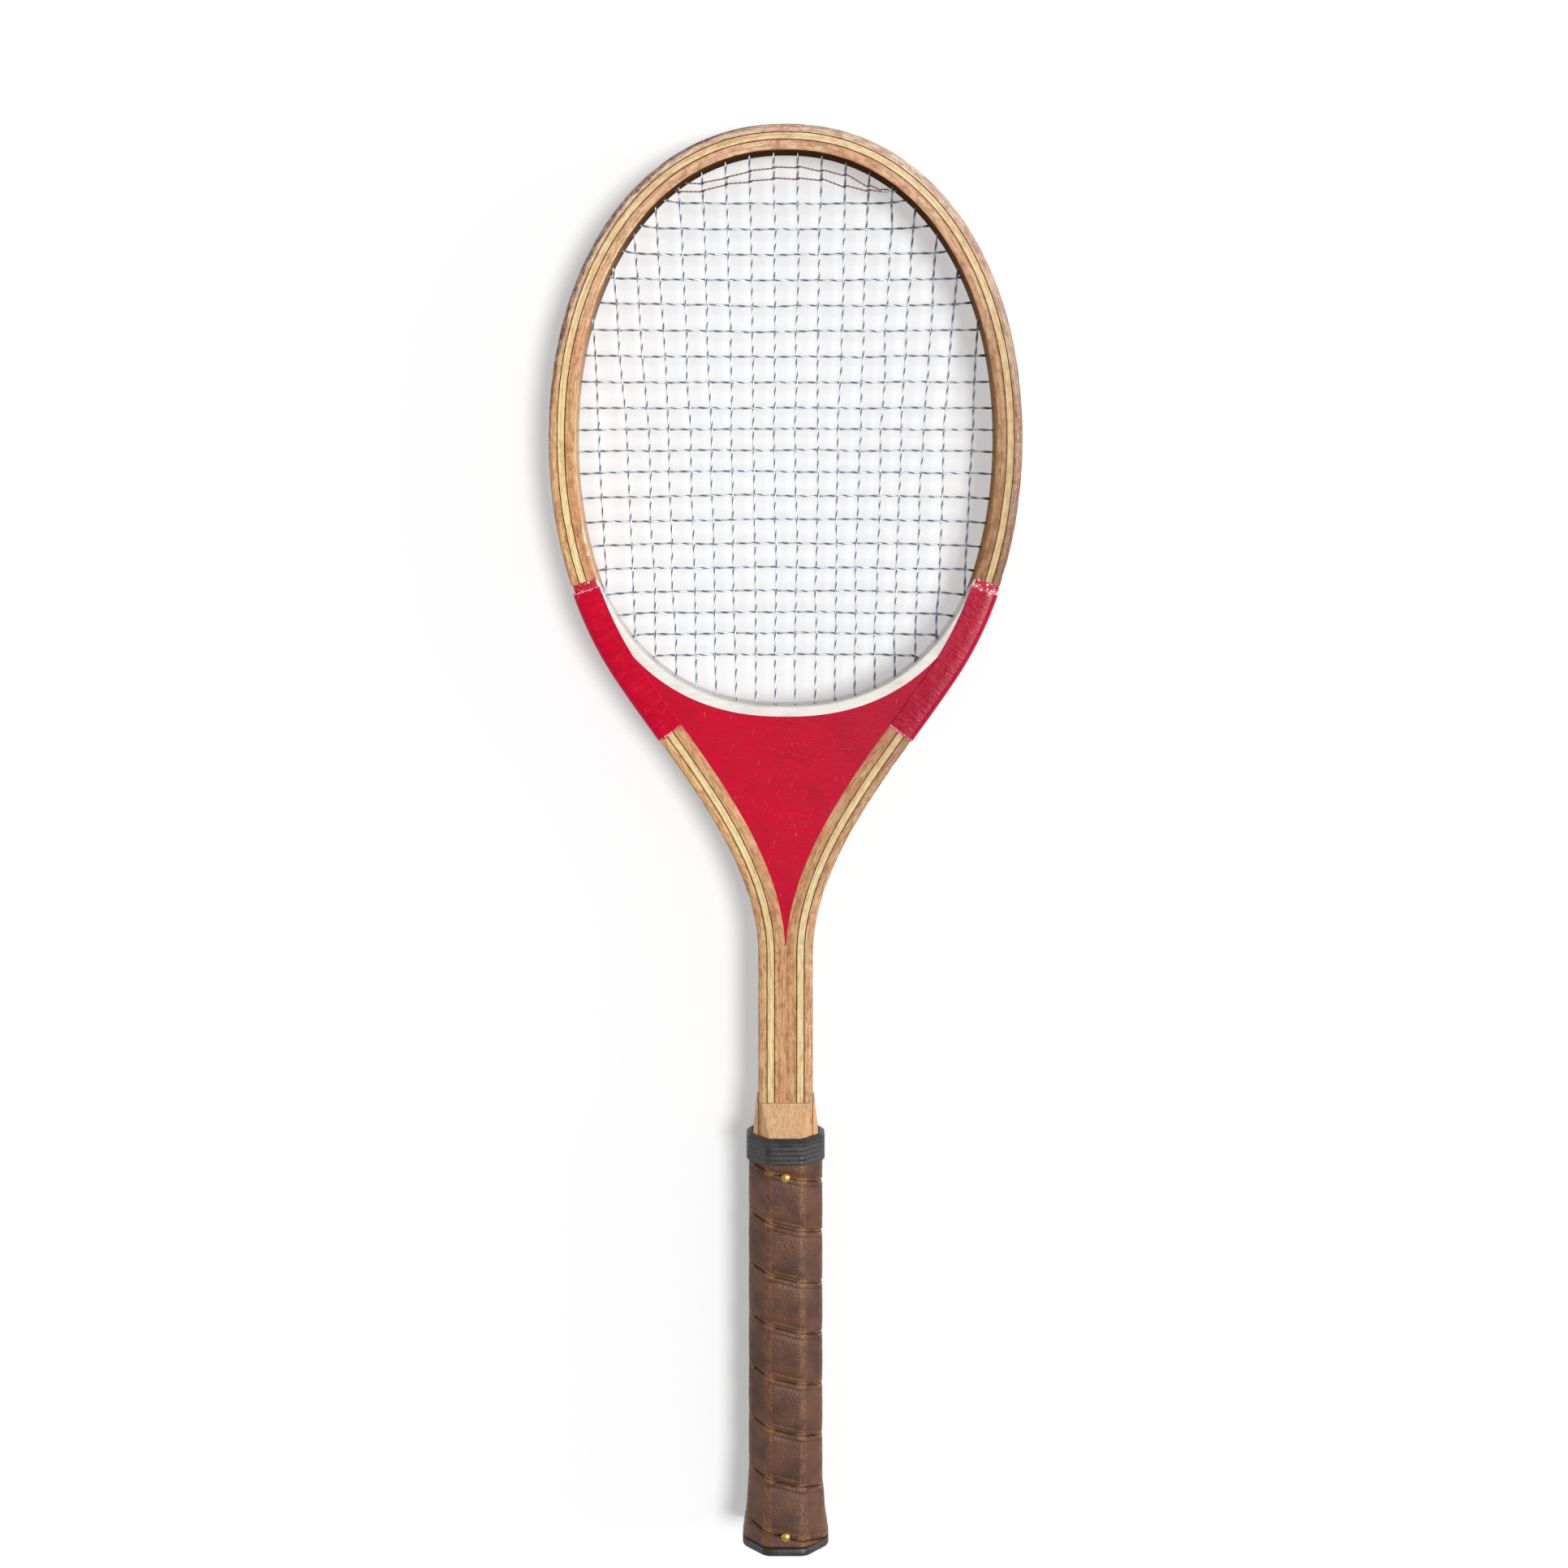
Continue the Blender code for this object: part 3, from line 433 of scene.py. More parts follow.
def crossing(main, cross):
    """Where a main and a cross meet in plan, or None where they don't."""
    point = main_point(main, CROSS_HEIGHTS[cross])
    for _ in range(4):
        point = main_point(main, cross_height(cross, point[0]))
    inside_ends = abs(point[0]) < CROSS_RIGHTS[cross].mouth[0] - MOUTH_CLEARANCE
    inside_tops = MAIN_BOTTOMS[main].mouth[1] < point[1] < MAIN_TOPS[main].mouth[1]
    return point if inside_ends and inside_tops else None


def near_mouth(point, cross):
    return CROSS_RIGHTS[cross].mouth[0] - abs(point[0]) < NEAR_MOUTH


def cross_on_top(main, cross):
    return (main + cross) % 2 == 1


def wandered(point, main, cross):
    """A crossing, shifted as rubbed strings are, except near the rim and under the trebling."""
    x, y = point
    from_sides = smoothstep(CROSS_RIGHTS[cross].mouth[0] - abs(x), WANDER_STARTS, WANDER_FULL)
    from_crown = smoothstep(y - MAIN_BOTTOMS[main].mouth[1], WANDER_STARTS, WANDER_FULL)
    share = WANDER * float(from_sides * from_crown * smoothstep(y, *WANDER_TOP))
    sideways = noise.noise(Vector((main * 7.3, y * 40, 0))) + noise.noise(Vector((main * 3.1, y * 9, 5)))
    up = noise.noise(Vector((x * 40, cross * 5.7, 9))) + 0.5 * noise.noise(Vector((x * 9, cross * 2.3, 4)))
    return point + share * np.array([sideways, 0.7 * up])


def through_hole(hole, level):
    """The string's points from the bed out to its loop."""
    return [(*(hole.mouth + hole.outward * MOUTH_BEND), level), (*hole.loop, level)]


def groove_points(start, end, level):
    """The string's points along the groove between two lengths of the rim."""
    arcs = np.linspace(start, end, round(abs(end - start) / STRING_STEP))
    return [(*RIM.at(arc, loop_depth(RIM.at(arc)[1])), level) for arc in arcs[1:-1]]


def tail(hole, other, level):
    """The string's end, laid along the groove away from the next string."""
    reach = math.copysign(TAIL, hole.arc - other.arc)
    return groove_points(hole.arc + reach, hole.arc, level)


def main_bed(main):
    """A main's points from its bottom hole to its top one."""
    points = []
    for cross in reversed(range(len(CROSS_HEIGHTS))):
        point = crossing(main, cross)
        if point is not None and not near_mouth(point, cross):
            level = -MAIN_WEAVE if cross_on_top(main, cross) else MAIN_WEAVE
            points.append((*wandered(point, main, cross), level))
    return points


def cross_bed(cross):
    """A cross's points from its left hole to its right one."""
    points = []
    for main in range(MAIN_COUNT):
        point = crossing(main, cross)
        if point is not None:
            woven = CROSS_WEAVE if cross_on_top(main, cross) else -CROSS_WEAVE
            level = CROSS_LEVEL if near_mouth(point, cross) else woven
            points.append((*wandered(point, main, cross), level))
    return points


def route(beds, starts, ends, level):
    """One wire to and fro through every hole, laid in the groove between them."""
    points = tail(starts[0], starts[1], level)
    for k, bed in enumerate(beds):
        stretch = [*reversed(through_hole(starts[k], level)), *bed, *through_hole(ends[k], level)]
        forward = k % 2 == 0
        points += stretch if forward else stretch[::-1]
        if k < len(beds) - 1:
            holes = ends if forward else starts
            points += groove_points(holes[k].arc, holes[k + 1].arc, level)
    last = starts if len(beds) % 2 == 0 else ends
    return points + tail(last[-1], last[-2], level)[::-1]


def evened(points, step):
    """The same route at even steps, easing up and down between its points, its corners rounded."""
    points = np.array(points)
    given = arc_lengths(points)
    wanted = np.linspace(0, given[-1], round(given[-1] / step) + 1)
    part = np.clip(np.searchsorted(given, wanted, side="right") - 1, 0, len(points) - 2)
    along = (wanted - given[part]) / np.diff(given)[part]
    eased = np.stack([along, along, smoothstep(along, 0, 1)], axis=1)
    course = points[part] + (points[part + 1] - points[part]) * eased
    for _ in range(SMOOTHINGS):
        inner = (course[:-2] + 2 * course[1:-1] + course[2:]) / 4
        course = np.vstack([course[:1], inner, course[-1:]])
    return course


def carried_frames(points):
    """Normals and binormals that follow a route without twisting."""
    tangents = unit(np.gradient(points, axis=0))
    normals = np.empty_like(tangents)
    normal = np.array([0.0, 0.0, 1.0])
    for k, tangent in enumerate(tangents):
        normal = unit(normal - tangent * tangent.dot(normal))
        normals[k] = normal
    return normals, np.cross(tangents, normals)


# Meshes
def linked(name, data, collection=bpy.context.scene.collection):
    """A new object in a collection."""
    made = bpy.data.objects.new(name, data)
    collection.objects.link(made)
    return made


def finished(name, mesh, finish, node, cutters=(), sharp=40):
    """A visible piece that takes a node's place and rides with the racket."""
    if not mesh.materials:
        mesh.materials.append(finish)
    if cutters:
        mesh = cut(mesh, cutters)
    piece = linked(name, mesh, looks)
    mesh.polygons.foreach_set("use_smooth", [True] * len(mesh.polygons))
    mesh.set_sharp_from_angle(angle=math.radians(sharp))
    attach(piece, "root")
    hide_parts(node)


def placed(points):
    return np.asarray(points) + (0, -LENGTH / 2, REST_HEIGHT)


def skin(name, rows, uv=None, ring=False, wear=None):
    """A closed mesh through rows of points, each row once round the piece."""
    count, around = rows.shape[:2]
    index = np.arange(count * around).reshape(count, around)
    before = index if ring else index[:-1]
    after = np.roll(index, -1, axis=0) if ring else index[1:]
    quads = np.stack([before, np.roll(before, -1, axis=1), np.roll(after, -1, axis=1), after], axis=-1)
    faces = quads.reshape(-1, 4).tolist()
    if not ring:
        faces += [index[0, ::-1].tolist(), index[-1].tolist()]
    mesh = bpy.data.meshes.new(name)
    mesh.from_pydata(placed(rows.reshape(-1, 3)).tolist(), [], faces)
    layer = mesh.uv_layers.new(name="grain")
    if uv is not None:
        corners = np.empty(len(mesh.loops), dtype=np.int32)
        mesh.loops.foreach_get("vertex_index", corners)
        layer.data.foreach_set("uv", uv.reshape(-1, 2)[corners].ravel())
    if wear is not None:
        mesh.attributes.new("wear", "FLOAT", "POINT").data.foreach_set("value", wear.ravel())
    shape = bmesh.new()
    shape.from_mesh(mesh)
    if shape.calc_volume(signed=True) < 0:
        bmesh.ops.reverse_faces(shape, faces=shape.faces)
        shape.to_mesh(mesh)
    shape.free()
    return mesh


def cut(mesh, cutters):
    """The mesh less the cutters, whose finish lines the cuts."""
    holder = linked(mesh.name + "_uncut", mesh)
    for cutter in cutters:
        modifier = holder.modifiers.new(cutter.name, "BOOLEAN")
        modifier.object = cutter
        modifier.solver = "EXACT"
        modifier.material_mode = "TRANSFER"
    evaluated = holder.evaluated_get(bpy.context.evaluated_depsgraph_get())
    result = bpy.data.meshes.new_from_object(evaluated)
    bpy.data.objects.remove(holder)
    return result


def cutter_object(mesh):
    cutter = linked(mesh.name, mesh)
    cutter.hide_render = True
    cutter.display_type = "WIRE"
    return cutter


def section(count, *upper):
    """Rows of (inward, up) points: a section's upper half, whose values may change along the path,
    and its mirror image."""
    points = [np.stack([np.broadcast_to(value, count) for value in point], axis=-1) for point in upper]
    rows = np.stack(points, axis=1)
    return np.concatenate([rows, rows[:, -2:0:-1] * (1, -1)], axis=1)


def rounded_corner(inward, up, radius, turn):
    """Points round a corner of the section; turn is 1 for an outer corner and -1 for an inner one."""
    points = [(inward + turn * radius * (1 - np.cos(angle)), up - radius + radius * np.sin(angle))
              for angle in np.linspace(0, math.pi / 2, ARC_POINTS)]
    return points if turn > 0 else points[::-1]


def swept(name, path, arcs, rows):
    """A section carried along a path. The map holds the length along it and the depth inside it."""
    arcs = np.broadcast_to(arcs if np.ndim(arcs) == 2 else arcs[:, None], rows.shape[:2])
    points = np.concatenate([path.at(arcs, rows[..., 0]), rows[..., 1:]], axis=-1)
    return skin(name, points, uv=np.stack([arcs, rows[..., 0]], axis=-1))


def paint_depths(mesh, finish, edge_finish, low, high):
    """Gives the faces whose map lies between two depths a finish of their own."""
    mesh.materials.append(finish)
    mesh.materials.append(edge_finish)
    corners = mesh.uv_layers["grain"].data
    for face in mesh.polygons:
        depth = sum(corners[k].uv[1] for k in face.loop_indices) / face.loop_total
        face.material_index = int(low <= depth <= high)


def joined(name, meshes):
    """Several meshes as one."""
    shape = bmesh.new()
    for mesh in meshes:
        shape.from_mesh(mesh)
    result = bpy.data.meshes.new(name)
    shape.to_mesh(result)
    shape.free()
    return result


def twisted(name, points, step, radius, offset, pitch, sides, mark=None):
    """Two strands twisted round each other. The map's second value is how far each faces the other,
    and mark gives each point of the route a measure of wear."""
    points = evened(points, step)
    normals, binormals = carried_frames(points)
    arcs = arc_lengths(points)
    angles = turned_round(sides)
    facing = np.broadcast_to(0.5 - 0.5 * np.cos(angles), (len(points), sides))
    uv = np.stack([np.broadcast_to(arcs[:, None], facing.shape), facing], axis=-1)
    wear = np.repeat(mark(points), sides) if mark else None
    cosines, sines = np.cos(angles)[None, :, None], np.sin(angles)[None, :, None]
    strands = []
    for phase in (0, math.pi):
        turn = (2 * math.pi * arcs / pitch + phase)[:, None]
        outward = np.cos(turn) * normals + np.sin(turn) * binormals
        sideways = np.cos(turn) * binormals - np.sin(turn) * normals
        ring = cosines * outward[:, None] + sines * sideways[:, None]
        strands.append(skin(name, (points + outward * offset)[:, None] + ring * radius, uv, wear=wear))
    return joined(name, strands)


# Finishes
def linear(channels):
    """A linear colour from 0 to 255 display values."""
    return (*[c / 255 / 12.92 if c <= 10 else ((c / 255 + 0.055) / 1.055) ** 2.4 for c in channels], 1.0)


class Value:
    """A value that varies over a surface. Arithmetic on it adds nodes to its tree."""

    def __init__(self, nodes, socket):
        self.nodes = nodes
        self.socket = socket

    def __add__(self, other):
        return self.nodes.math("ADD", self, other)

    def __sub__(self, other):
        return self.nodes.math("SUBTRACT", self, other)

    def __rsub__(self, other):
        return self.nodes.math("SUBTRACT", other, self)

    def __mul__(self, other):
        return self.nodes.math("MULTIPLY", self, other)

    def __abs__(self):
        return self.nodes.math("ABSOLUTE", self)

    def ramp(self, low, high, start=0.0, end=1.0):
        """A smooth step from start, where this is low, to end, where it is high."""
        return self.nodes.node("MapRange", self, low, high, start, end, interpolation_type="SMOOTHSTEP")

    def graded(self, start, end):
        """An even change from start, where this is 0, to end, where it is 1."""
        return self.nodes.node("MapRange", self, 0.0, 1.0, start, end)

    def between(self, low, high, soft):
        """1 where this lies between low and high, and 0 outside."""
        return self.ramp(low - soft, low + soft) * self.ramp(high + soft, high - soft)

    def mix(self, a, b, blend="MIX"):
        """Colour a where this is 0, and b where it is 1."""
        unused = [None] * 5
        return self.nodes.node("Mix", self, *unused, a, b, output=2, data_type="RGBA", blend_type=blend)

    def shade(self, colour, tint):
        return self.mix(colour, tint, "MULTIPLY")


class Nodes:
    """A node tree that short calls add to."""

    def __init__(self, tree):
        self.tree = tree

    def node(self, kind, *values, output=0, **settings):
        """One output of a new node, whose inputs take these values in their order."""
        made = self.tree.nodes.new("ShaderNode" + kind)
        for key, value in settings.items():
            setattr(made, key, value)
        for socket, value in zip(made.inputs, values):
            self.feed(socket, value)
        return Value(self, made.outputs[output])

    def feed(self, socket, value):
        """Links or sets an input. Three numbers are a colour's display values."""
        if isinstance(value, Value):
            self.tree.links.new(value.socket, socket)
        elif value is not None:
            socket.default_value = linear(value) if np.size(value) == 3 else value

    def math(self, operation, a, b=None):
        return self.node("Math", a, b, operation=operation)

    def split(self, vector):
        made = self.node("SeparateXYZ", vector).socket.node
        return [Value(self, output) for output in made.outputs]


class Finish(Nodes):
    """A Principled material. whole is the place on the object, and x, y, z its coordinates."""

    def __init__(self, name, **plain):
        self.material = bpy.data.materials.new(name)
        self.material.use_nodes = True
        super().__init__(self.material.node_tree)
        self.shader = self.tree.nodes["Principled BSDF"].inputs
        for socket, value in plain.items():
            self.feed(self.shader[socket.replace("_", " ")], value)
        self.whole = self.node("TexCoord", output="Object")
        self.x, self.y, self.z = self.split(self.whole)

    def noise(self, place, scale=1.0, detail=2.0, roughness=0.5):
        """Noise at a vector, or at three values."""
        place = self.node("CombineXYZ", *place) if isinstance(place, tuple) else place
        return self.node("TexNoise", place, None, scale, detail, roughness)

    def spots(self, place, scale=1.0):
        """Distance to the nearest of scattered points."""
        return self.node("TexVoronoi", place, None, scale)

    def stretched(self, length, width):
        """The place in the wood, measured in grains this long and this wide."""
        along, across, through = self.wood
        return self.node("CombineXYZ", along * (1 / length), across * (1 / width), through * (1 / width))

    def grain(self, length, width, detail=2.0, roughness=0.5):
        return self.noise(self.stretched(length, width), 1.0, detail, roughness)

    def wear(self):
        """The piece's own measure of wear."""
        return self.node("Attribute", output="Fac", attribute_name="wear")

    def made(self, colour, roughness, *bumps):
        """The material in full. The bumps are (height, distance) pairs, one on another."""
        normal = None
        for height, distance in bumps:
            normal = self.node("Bump", 1.0, distance, None, height, normal)
        for socket, value in (("Base Color", colour), ("Roughness", roughness), ("Normal", normal)):
            self.feed(self.shader[socket], value)
        return self.material


class MappedFinish(Finish):
    """A finish for pieces with a map of their own, u along the piece and v across it."""

    def __init__(self, name, **plain):
        super().__init__(name, **plain)
        self.u, self.v, _ = self.split(self.node("UVMap", uv_map="grain"))
        self.wood = (self.u, self.v, self.z)


RED = (208, 0, 46)
SHADED_RED = (186, 8, 48)
BAND_RED = (188, 0, 40)
WHITE = (242, 240, 234)
CREAM = (246, 234, 212)
STREAK_SHADE = (216, 204, 192)
MOTTLE_SHADE = (206, 190, 172)
PINKISH = (250, 228, 226)
FLECK_SHADE = (160, 130, 112)
LINE_SHADE = (212, 196, 170)
PIT = (84, 54, 40)
GLUE = (50, 34, 24)
RUBBED_GLUE = (92, 68, 48)
# Dirt and painted shade on the outer edge
EDGE_DIRT_AND_SHADE = (84, 60, 58)
EDGE_FILM = (156, 126, 122)
CHIP = (240, 212, 188)


def wood_grain(finish, base, figure=1.0, flecked=1.0):
    """Lines, streaks, mottling, flecks and pits, drawn out along the wood, and their bumps."""
    streaks = finish.grain(0.020, 0.0009, 4, 0.6)
    flecks = finish.grain(0.0028, 0.0006, 2, 0.6)
    colour = base
    for pattern, low, high, amount, tint in (
            (finish.grain(0.090, 0.0004, 1), 0.50, 0.62, 0.55, LINE_SHADE),
            (streaks, 0.36, 0.68, 0.70 * figure, STREAK_SHADE),
            (finish.grain(0.0048, 0.0016, 3, 0.6), 0.44, 0.64, 0.85 * figure, MOTTLE_SHADE),
            (finish.grain(0.012, 0.0060), 0.40, 0.64, 0.80 * figure, PINKISH),
            (finish.grain(0.0028, 0.00022), 0.52, 0.70, 0.35 * flecked, FLECK_SHADE),
            (flecks, 0.62, 0.70, 0.75 * flecked, FLECK_SHADE)):
        colour = (pattern.ramp(low, high) * amount).shade(colour, tint)
    pits = finish.spots(finish.stretched(0.024, 0.0065)).ramp(0.045, 0.02)
    colour = (pits * (0.8 * flecked)).mix(colour, PIT)
    return colour, [(streaks, 0.00006), (1 - flecks.ramp(0.62, 0.70), 0.00004)]


def glue_line(finish, colour):
    """The dark glue of both veneers, run a little into the plies beside them."""
    from_veneer = abs(abs(finish.v - PLIES_MIDDLE) - VENEER_OFFSET)
    reach = finish.grain(0.0012, 0.0008) * GLUE_RUN + (VENEER_HALF_WIDTH - GLUE_SOFT)
    return (reach - from_veneer).ramp(-GLUE_SOFT, 0.00005).mix(colour, GLUE)


def lit_and_shaded_tints(finish, left, right, top, low_right):
    """A tone that differs at the left, the right, round the top and at the lower right: painted light at the
    left, painted shade at the right and lower right.
    """
    x, y = finish.x, finish.y
    across = x.ramp(-0.06, 0.09).mix(left, right)
    # Painted shade at the lower right
    across = (x.ramp(0.03, 0.10) * y.ramp(0.19, 0.12)).shade(across, low_right)
    return y.ramp(0.19, 0.31).mix(across, top)


def worn_and_shaded_edge(finish, colour):
    """Dirt and painted shade along the outer edge, most at the upper left, a grey film inside it, and pale
    chips.
    """
    x, y, v = finish.x, finish.y, finish.v
    smear = finish.grain(0.008, 0.0013, 4, 0.6)
    worst = (x + y * -0.25).ramp(-0.08, -0.15) * y.ramp(0.17, 0.25)
    reach = smear * 0.0016 + worst * smear * 0.0036
    patchy = finish.grain(0.0036, 0.0012, 3, 0.6).ramp(0.34, 0.60, 0.95, 0.50)
    corner = abs(finish.z - REST_HEIGHT).ramp(0.0040, 0.0085, 0.35, 1.0)
    # Dirt, darkened further as painted shade where the outer edge rounds over, most on its corners
    dirt_and_shade = (reach - v).ramp(0.0, 0.0008) * patchy * corner * y.ramp(-0.04, 0.08, 0.5, 1.0)
    film = finish.grain(0.014, 0.0022, 4, 0.65).ramp(0.44, 0.62)
    filmed = v.ramp(0.0040, 0.0012) * film * worst.ramp(0.0, 1.0, 0.35, 0.65) * y.ramp(0.10, 0.20)
    chips = finish.grain(0.0019, 0.0008) + worst * 0.04
    chipped = v.ramp(0.0042, 0.0012) * chips.ramp(0.62, 0.69) * 0.60
    for share, tint in ((filmed, EDGE_FILM), (dirt_and_shade, EDGE_DIRT_AND_SHADE), (chipped, CHIP)):
        colour = share.mix(colour, tint)
    return colour


def up_the_limb(finish):
    """Length along the nearer limb, from the butt."""
    return TIP_ARC - abs(finish.u - TIP_ARC)


def shoulder_paint(finish, colour):
    """Red paint in a ragged band above each sleeve, white down the inner wall, chips in both, painted glints
    among the chips on the right, and painted white glints up the left inner edge.
    """
    u, v, z = finish.wood
    along = up_the_limb(finish)
    ragged = (finish.noise(finish.whole, 620, 3) - 0.5) * PAINT_RAGGED + along
    right = finish.x.ramp(-0.02, 0.02)
    left = 1 - right
    near_top = along.between(SLEEVE_HIGH, arc_at(PAINT_TOP) + 0.0004, 0.0003)
    # White chips along the band's top edge; the extra ones on the right are painted glints of its edge
    chips = finish.noise((u * 1500, v * 620, z * 620)) + right * 0.05
    chipped = near_top * chips.ramp(*PAINT_CHIPS)
    sliver = v.ramp(0.0011, 0.0006) * near_top * left
    # Painted glints: white streaks up the left inner edge where it catches the light
    glint_streaks = finish.noise((u * 210, v, z)).ramp(0.42, 0.62)
    painted_glint = (ragged.between(arc_at(PAINTED_GLINT_HEIGHTS[0]), arc_at(PAINTED_GLINT_HEIGHTS[1]), 0.0004)
              * v.between(LIMB_WIDTH - 0.0010, LIMB_WIDTH - 0.0003, 0.00015) * glint_streaks * left)
    wall = v.ramp(LIMB_WIDTH - 0.0009, LIMB_WIDTH - 0.0006)
    below = ((REST_HEIGHT + HALF_THICKNESS) - z) * WHITE_SLOPE
    whitened = (ragged + below).between(SLEEVE_HIGH - 0.004, arc_at(WHITE_TOP), 0.00025) * wall
    bare_wall = wall * along.ramp(SLEEVE_HIGH - 0.002, SLEEVE_HIGH)
    red = ragged.between(SLEEVE_LOW, arc_at(PAINT_TOP), 0.00012) * (1 - bare_wall)
    for share, tint in ((red, right.mix(BAND_RED, SHADED_RED)), (chipped, WHITE), (sliver, CREAM),
                        (painted_glint, WHITE), (whitened, WHITE)):
        colour = share.mix(colour, tint)
    return colour


def hoop_finish(name, tints, figure=1.0, flecked=1.0, gloss=0.3):
    """Varnished wood of one ply."""
    finish = MappedFinish(name, Specular_IOR_Level=gloss)
    colour, bumps = wood_grain(finish, lit_and_shaded_tints(finish, *tints), figure, flecked)
    colour = worn_and_shaded_edge(finish, glue_line(finish, colour))
    rub = finish.noise(finish.whole, 260, 3, 0.6)
    return finish.made(shoulder_paint(finish, colour), rub.ramp(0.35, 0.75, 0.36, 0.60),
                       *bumps, (rub, 0.00007))


def veneer_finish():
    """Thin dark glue veneer, rubbed lighter in places."""
    finish = MappedFinish("dark_veneer_finish", Specular_IOR_Level=0.2)
    streak = finish.grain(0.006, 0.001, 3)
    colour = streak.ramp(0.45, 0.8).mix(GLUE, RUBBED_GLUE)
    return finish.made(shoulder_paint(finish, colour), 0.5, (streak, 0.00004))


def plain_wood_finish(name, colour):
    """Varnished wood whose grain runs the length of the racket."""
    finish = Finish(name, Coat_Weight=0.25, Coat_Roughness=0.22)
    finish.wood = (finish.y, finish.x, finish.z)
    colour, bumps = wood_grain(finish, colour, 0.45, 0.45)
    return finish.made(colour, 0.4, *bumps)


def brushed(finish, place, colour, deeper, paler):
    """Paint with the brush's streaks in it, and the streaks."""
    streaks = finish.noise(place, 1, 4, 0.6)
    tone = streaks.ramp(0.40, 0.72).mix(colour, deeper)
    tone = streaks.ramp(0.42, 0.26, 0.0, 0.5).mix(tone, paler)
    cloud = finish.noise(finish.whole, 60).ramp(0.40, 0.75, 0.0, 0.35)
    return cloud.shade(tone, (214, 196, 200)), streaks


def lacquer_finish(name, colour, shaded, deeper, paler, chip):
    """Brushed paint over wood, with small chips and scratches."""
    finish = Finish(name, Specular_IOR_Level=0.15, Coat_Weight=0.05, Coat_Roughness=0.12)
    x, y, z = finish.x, finish.y, finish.z
    sided = x.ramp(-0.01, 0.05).mix(colour, shaded)
    tone, streaks = brushed(finish, (x * 120, y * 1300, z * 1300), sided, deeper, paler)
    fine = finish.noise(finish.whole, 900, 3, 0.6)
    scratches = finish.noise((x * 2400, y * 130, z * 700))
    tone = fine.ramp(0.71, 0.74, 0.0, 0.7).mix(tone, chip)
    tone = scratches.ramp(0.70, 0.76, 0.0, 0.35).mix(tone, chip)
    return finish.made(tone, streaks.ramp(0.3, 0.8, 0.20, 0.42), (streaks, 0.00010), (fine, 0.00003))


def sleeve_finish():
    """Red sleeve, scuffed pale and with a painted highlight where its edges stand proud, and painted glints
    among the chips on the right.
    """
    finish = MappedFinish("red_sleeve_finish", Specular_IOR_Level=0.15, Coat_Weight=0.05, Coat_Roughness=0.1)
    u, v, z = finish.wood
    right = finish.x.ramp(-0.02, 0.02)
    # The right sleeve's red and its deeper streaks are darker: painted shade
    tone, streaks = brushed(finish, (u * 900, v * 130, z * 300), right.mix(RED, SHADED_RED),
                            right.mix(BAND_RED, (160, 16, 50)), (224, 24, 70))
    along = up_the_limb(finish)
    rub = finish.noise(finish.whole, 800, 3, 0.6)
    scuffs = finish.noise(finish.whole, 330, 3, 0.7)
    lip = (along + rub * 0.0010).ramp(SLEEVE_HIGH - 0.0005, SLEEVE_HIGH + 0.0002)
    foot = (along - rub * 0.0010).ramp(SLEEVE_LOW + 0.0005, SLEEVE_LOW - 0.0002)
    # Pale scuffs with a painted highlight along the proud top and bottom edges
    pale = (lip + foot) * rub.ramp(0.40, 0.52) * 0.85
    # The extra chips on the right are painted glints
    chips = finish.noise((u * 900, v * 500, z * 500)) + right * 0.05
    chipped = along.ramp(SLEEVE_HIGH - 0.0030, SLEEVE_HIGH - 0.0005) * chips.ramp(*PAINT_CHIPS)
    scuffed = scuffs.ramp(0.71, 0.76, 0.0, 0.6)
    for share, tint in ((pale, (250, 206, 214)), (scuffed, (235, 160, 170)), (chipped, WHITE)):
        tone = share.mix(tone, tint)
    return finish.made(tone, scuffs.ramp(0.4, 0.75, 0.18, 0.42), (streaks, 0.00012),
                       (finish.noise(finish.whole, 240), 0.00012), (rub, 0.00004))


def wire_finish():
    """Bright steel strands, with painted shade in the lay between them and painted shade near the rim, most
    at the right.
    """
    finish = MappedFinish("steel_wire_finish", Metallic=0.6, Specular_Tint=(190, 186, 184))
    x, y = finish.x, finish.y
    dull = finish.noise(finish.whole, 900, 3)
    bright = dull.ramp(0.35, 0.75).mix((224, 229, 234), (200, 207, 214))
    rust = finish.noise(finish.whole, 130).ramp(0.64, 0.72) * 0.5
    # Painted shade on the strings near the rim, most at the right, where the rim shades them
    out = x * (1 / (HEAD_HALF_WIDTH - LIMB_WIDTH))
    up = (y - (WIDEST - LENGTH / 2)) * (1 / (LENGTH - WIDEST - LIMB_WIDTH))
    painted_rim_shade = (out * out + up * up).ramp(0.66, 0.90) * x.ramp(-0.01, 0.04, 0.25, 1.0) * 0.8
    # Painted shade in the lay between the strands, where they lie side by side
    side_by_side = finish.math("COSINE", finish.u * (4 * math.pi / TWIST_PITCH))
    groove = finish.v.ramp(0.34, 0.64) * side_by_side.ramp(0.4, -0.6, 0.15, 0.9)
    for share, tint in ((rust, (206, 184, 160)), (painted_rim_shade, (112, 116, 126)),
                        (groove, (66, 70, 84))):
        bright = share.mix(bright, tint)
    return finish.made(bright, dull.ramp(0.3, 0.8, 0.36, 0.52), (dull, 0.00003))


def cord_finish():
    """Dull maroon thread, redder where it goes round a string."""
    finish = MappedFinish("maroon_cord_finish")
    fuzz = finish.noise(finish.whole, 2600, 3)
    colour = fuzz.ramp(0.3, 0.7).mix((140, 114, 112), (158, 134, 132))
    colour = finish.wear().mix(colour, (116, 70, 84))
    # Painted shade where the thread's two strands face each other
    colour = finish.v.ramp(0.55, 1.0).shade(colour, (206, 194, 196))
    return finish.made(colour, 0.7, (fuzz, 0.00006))


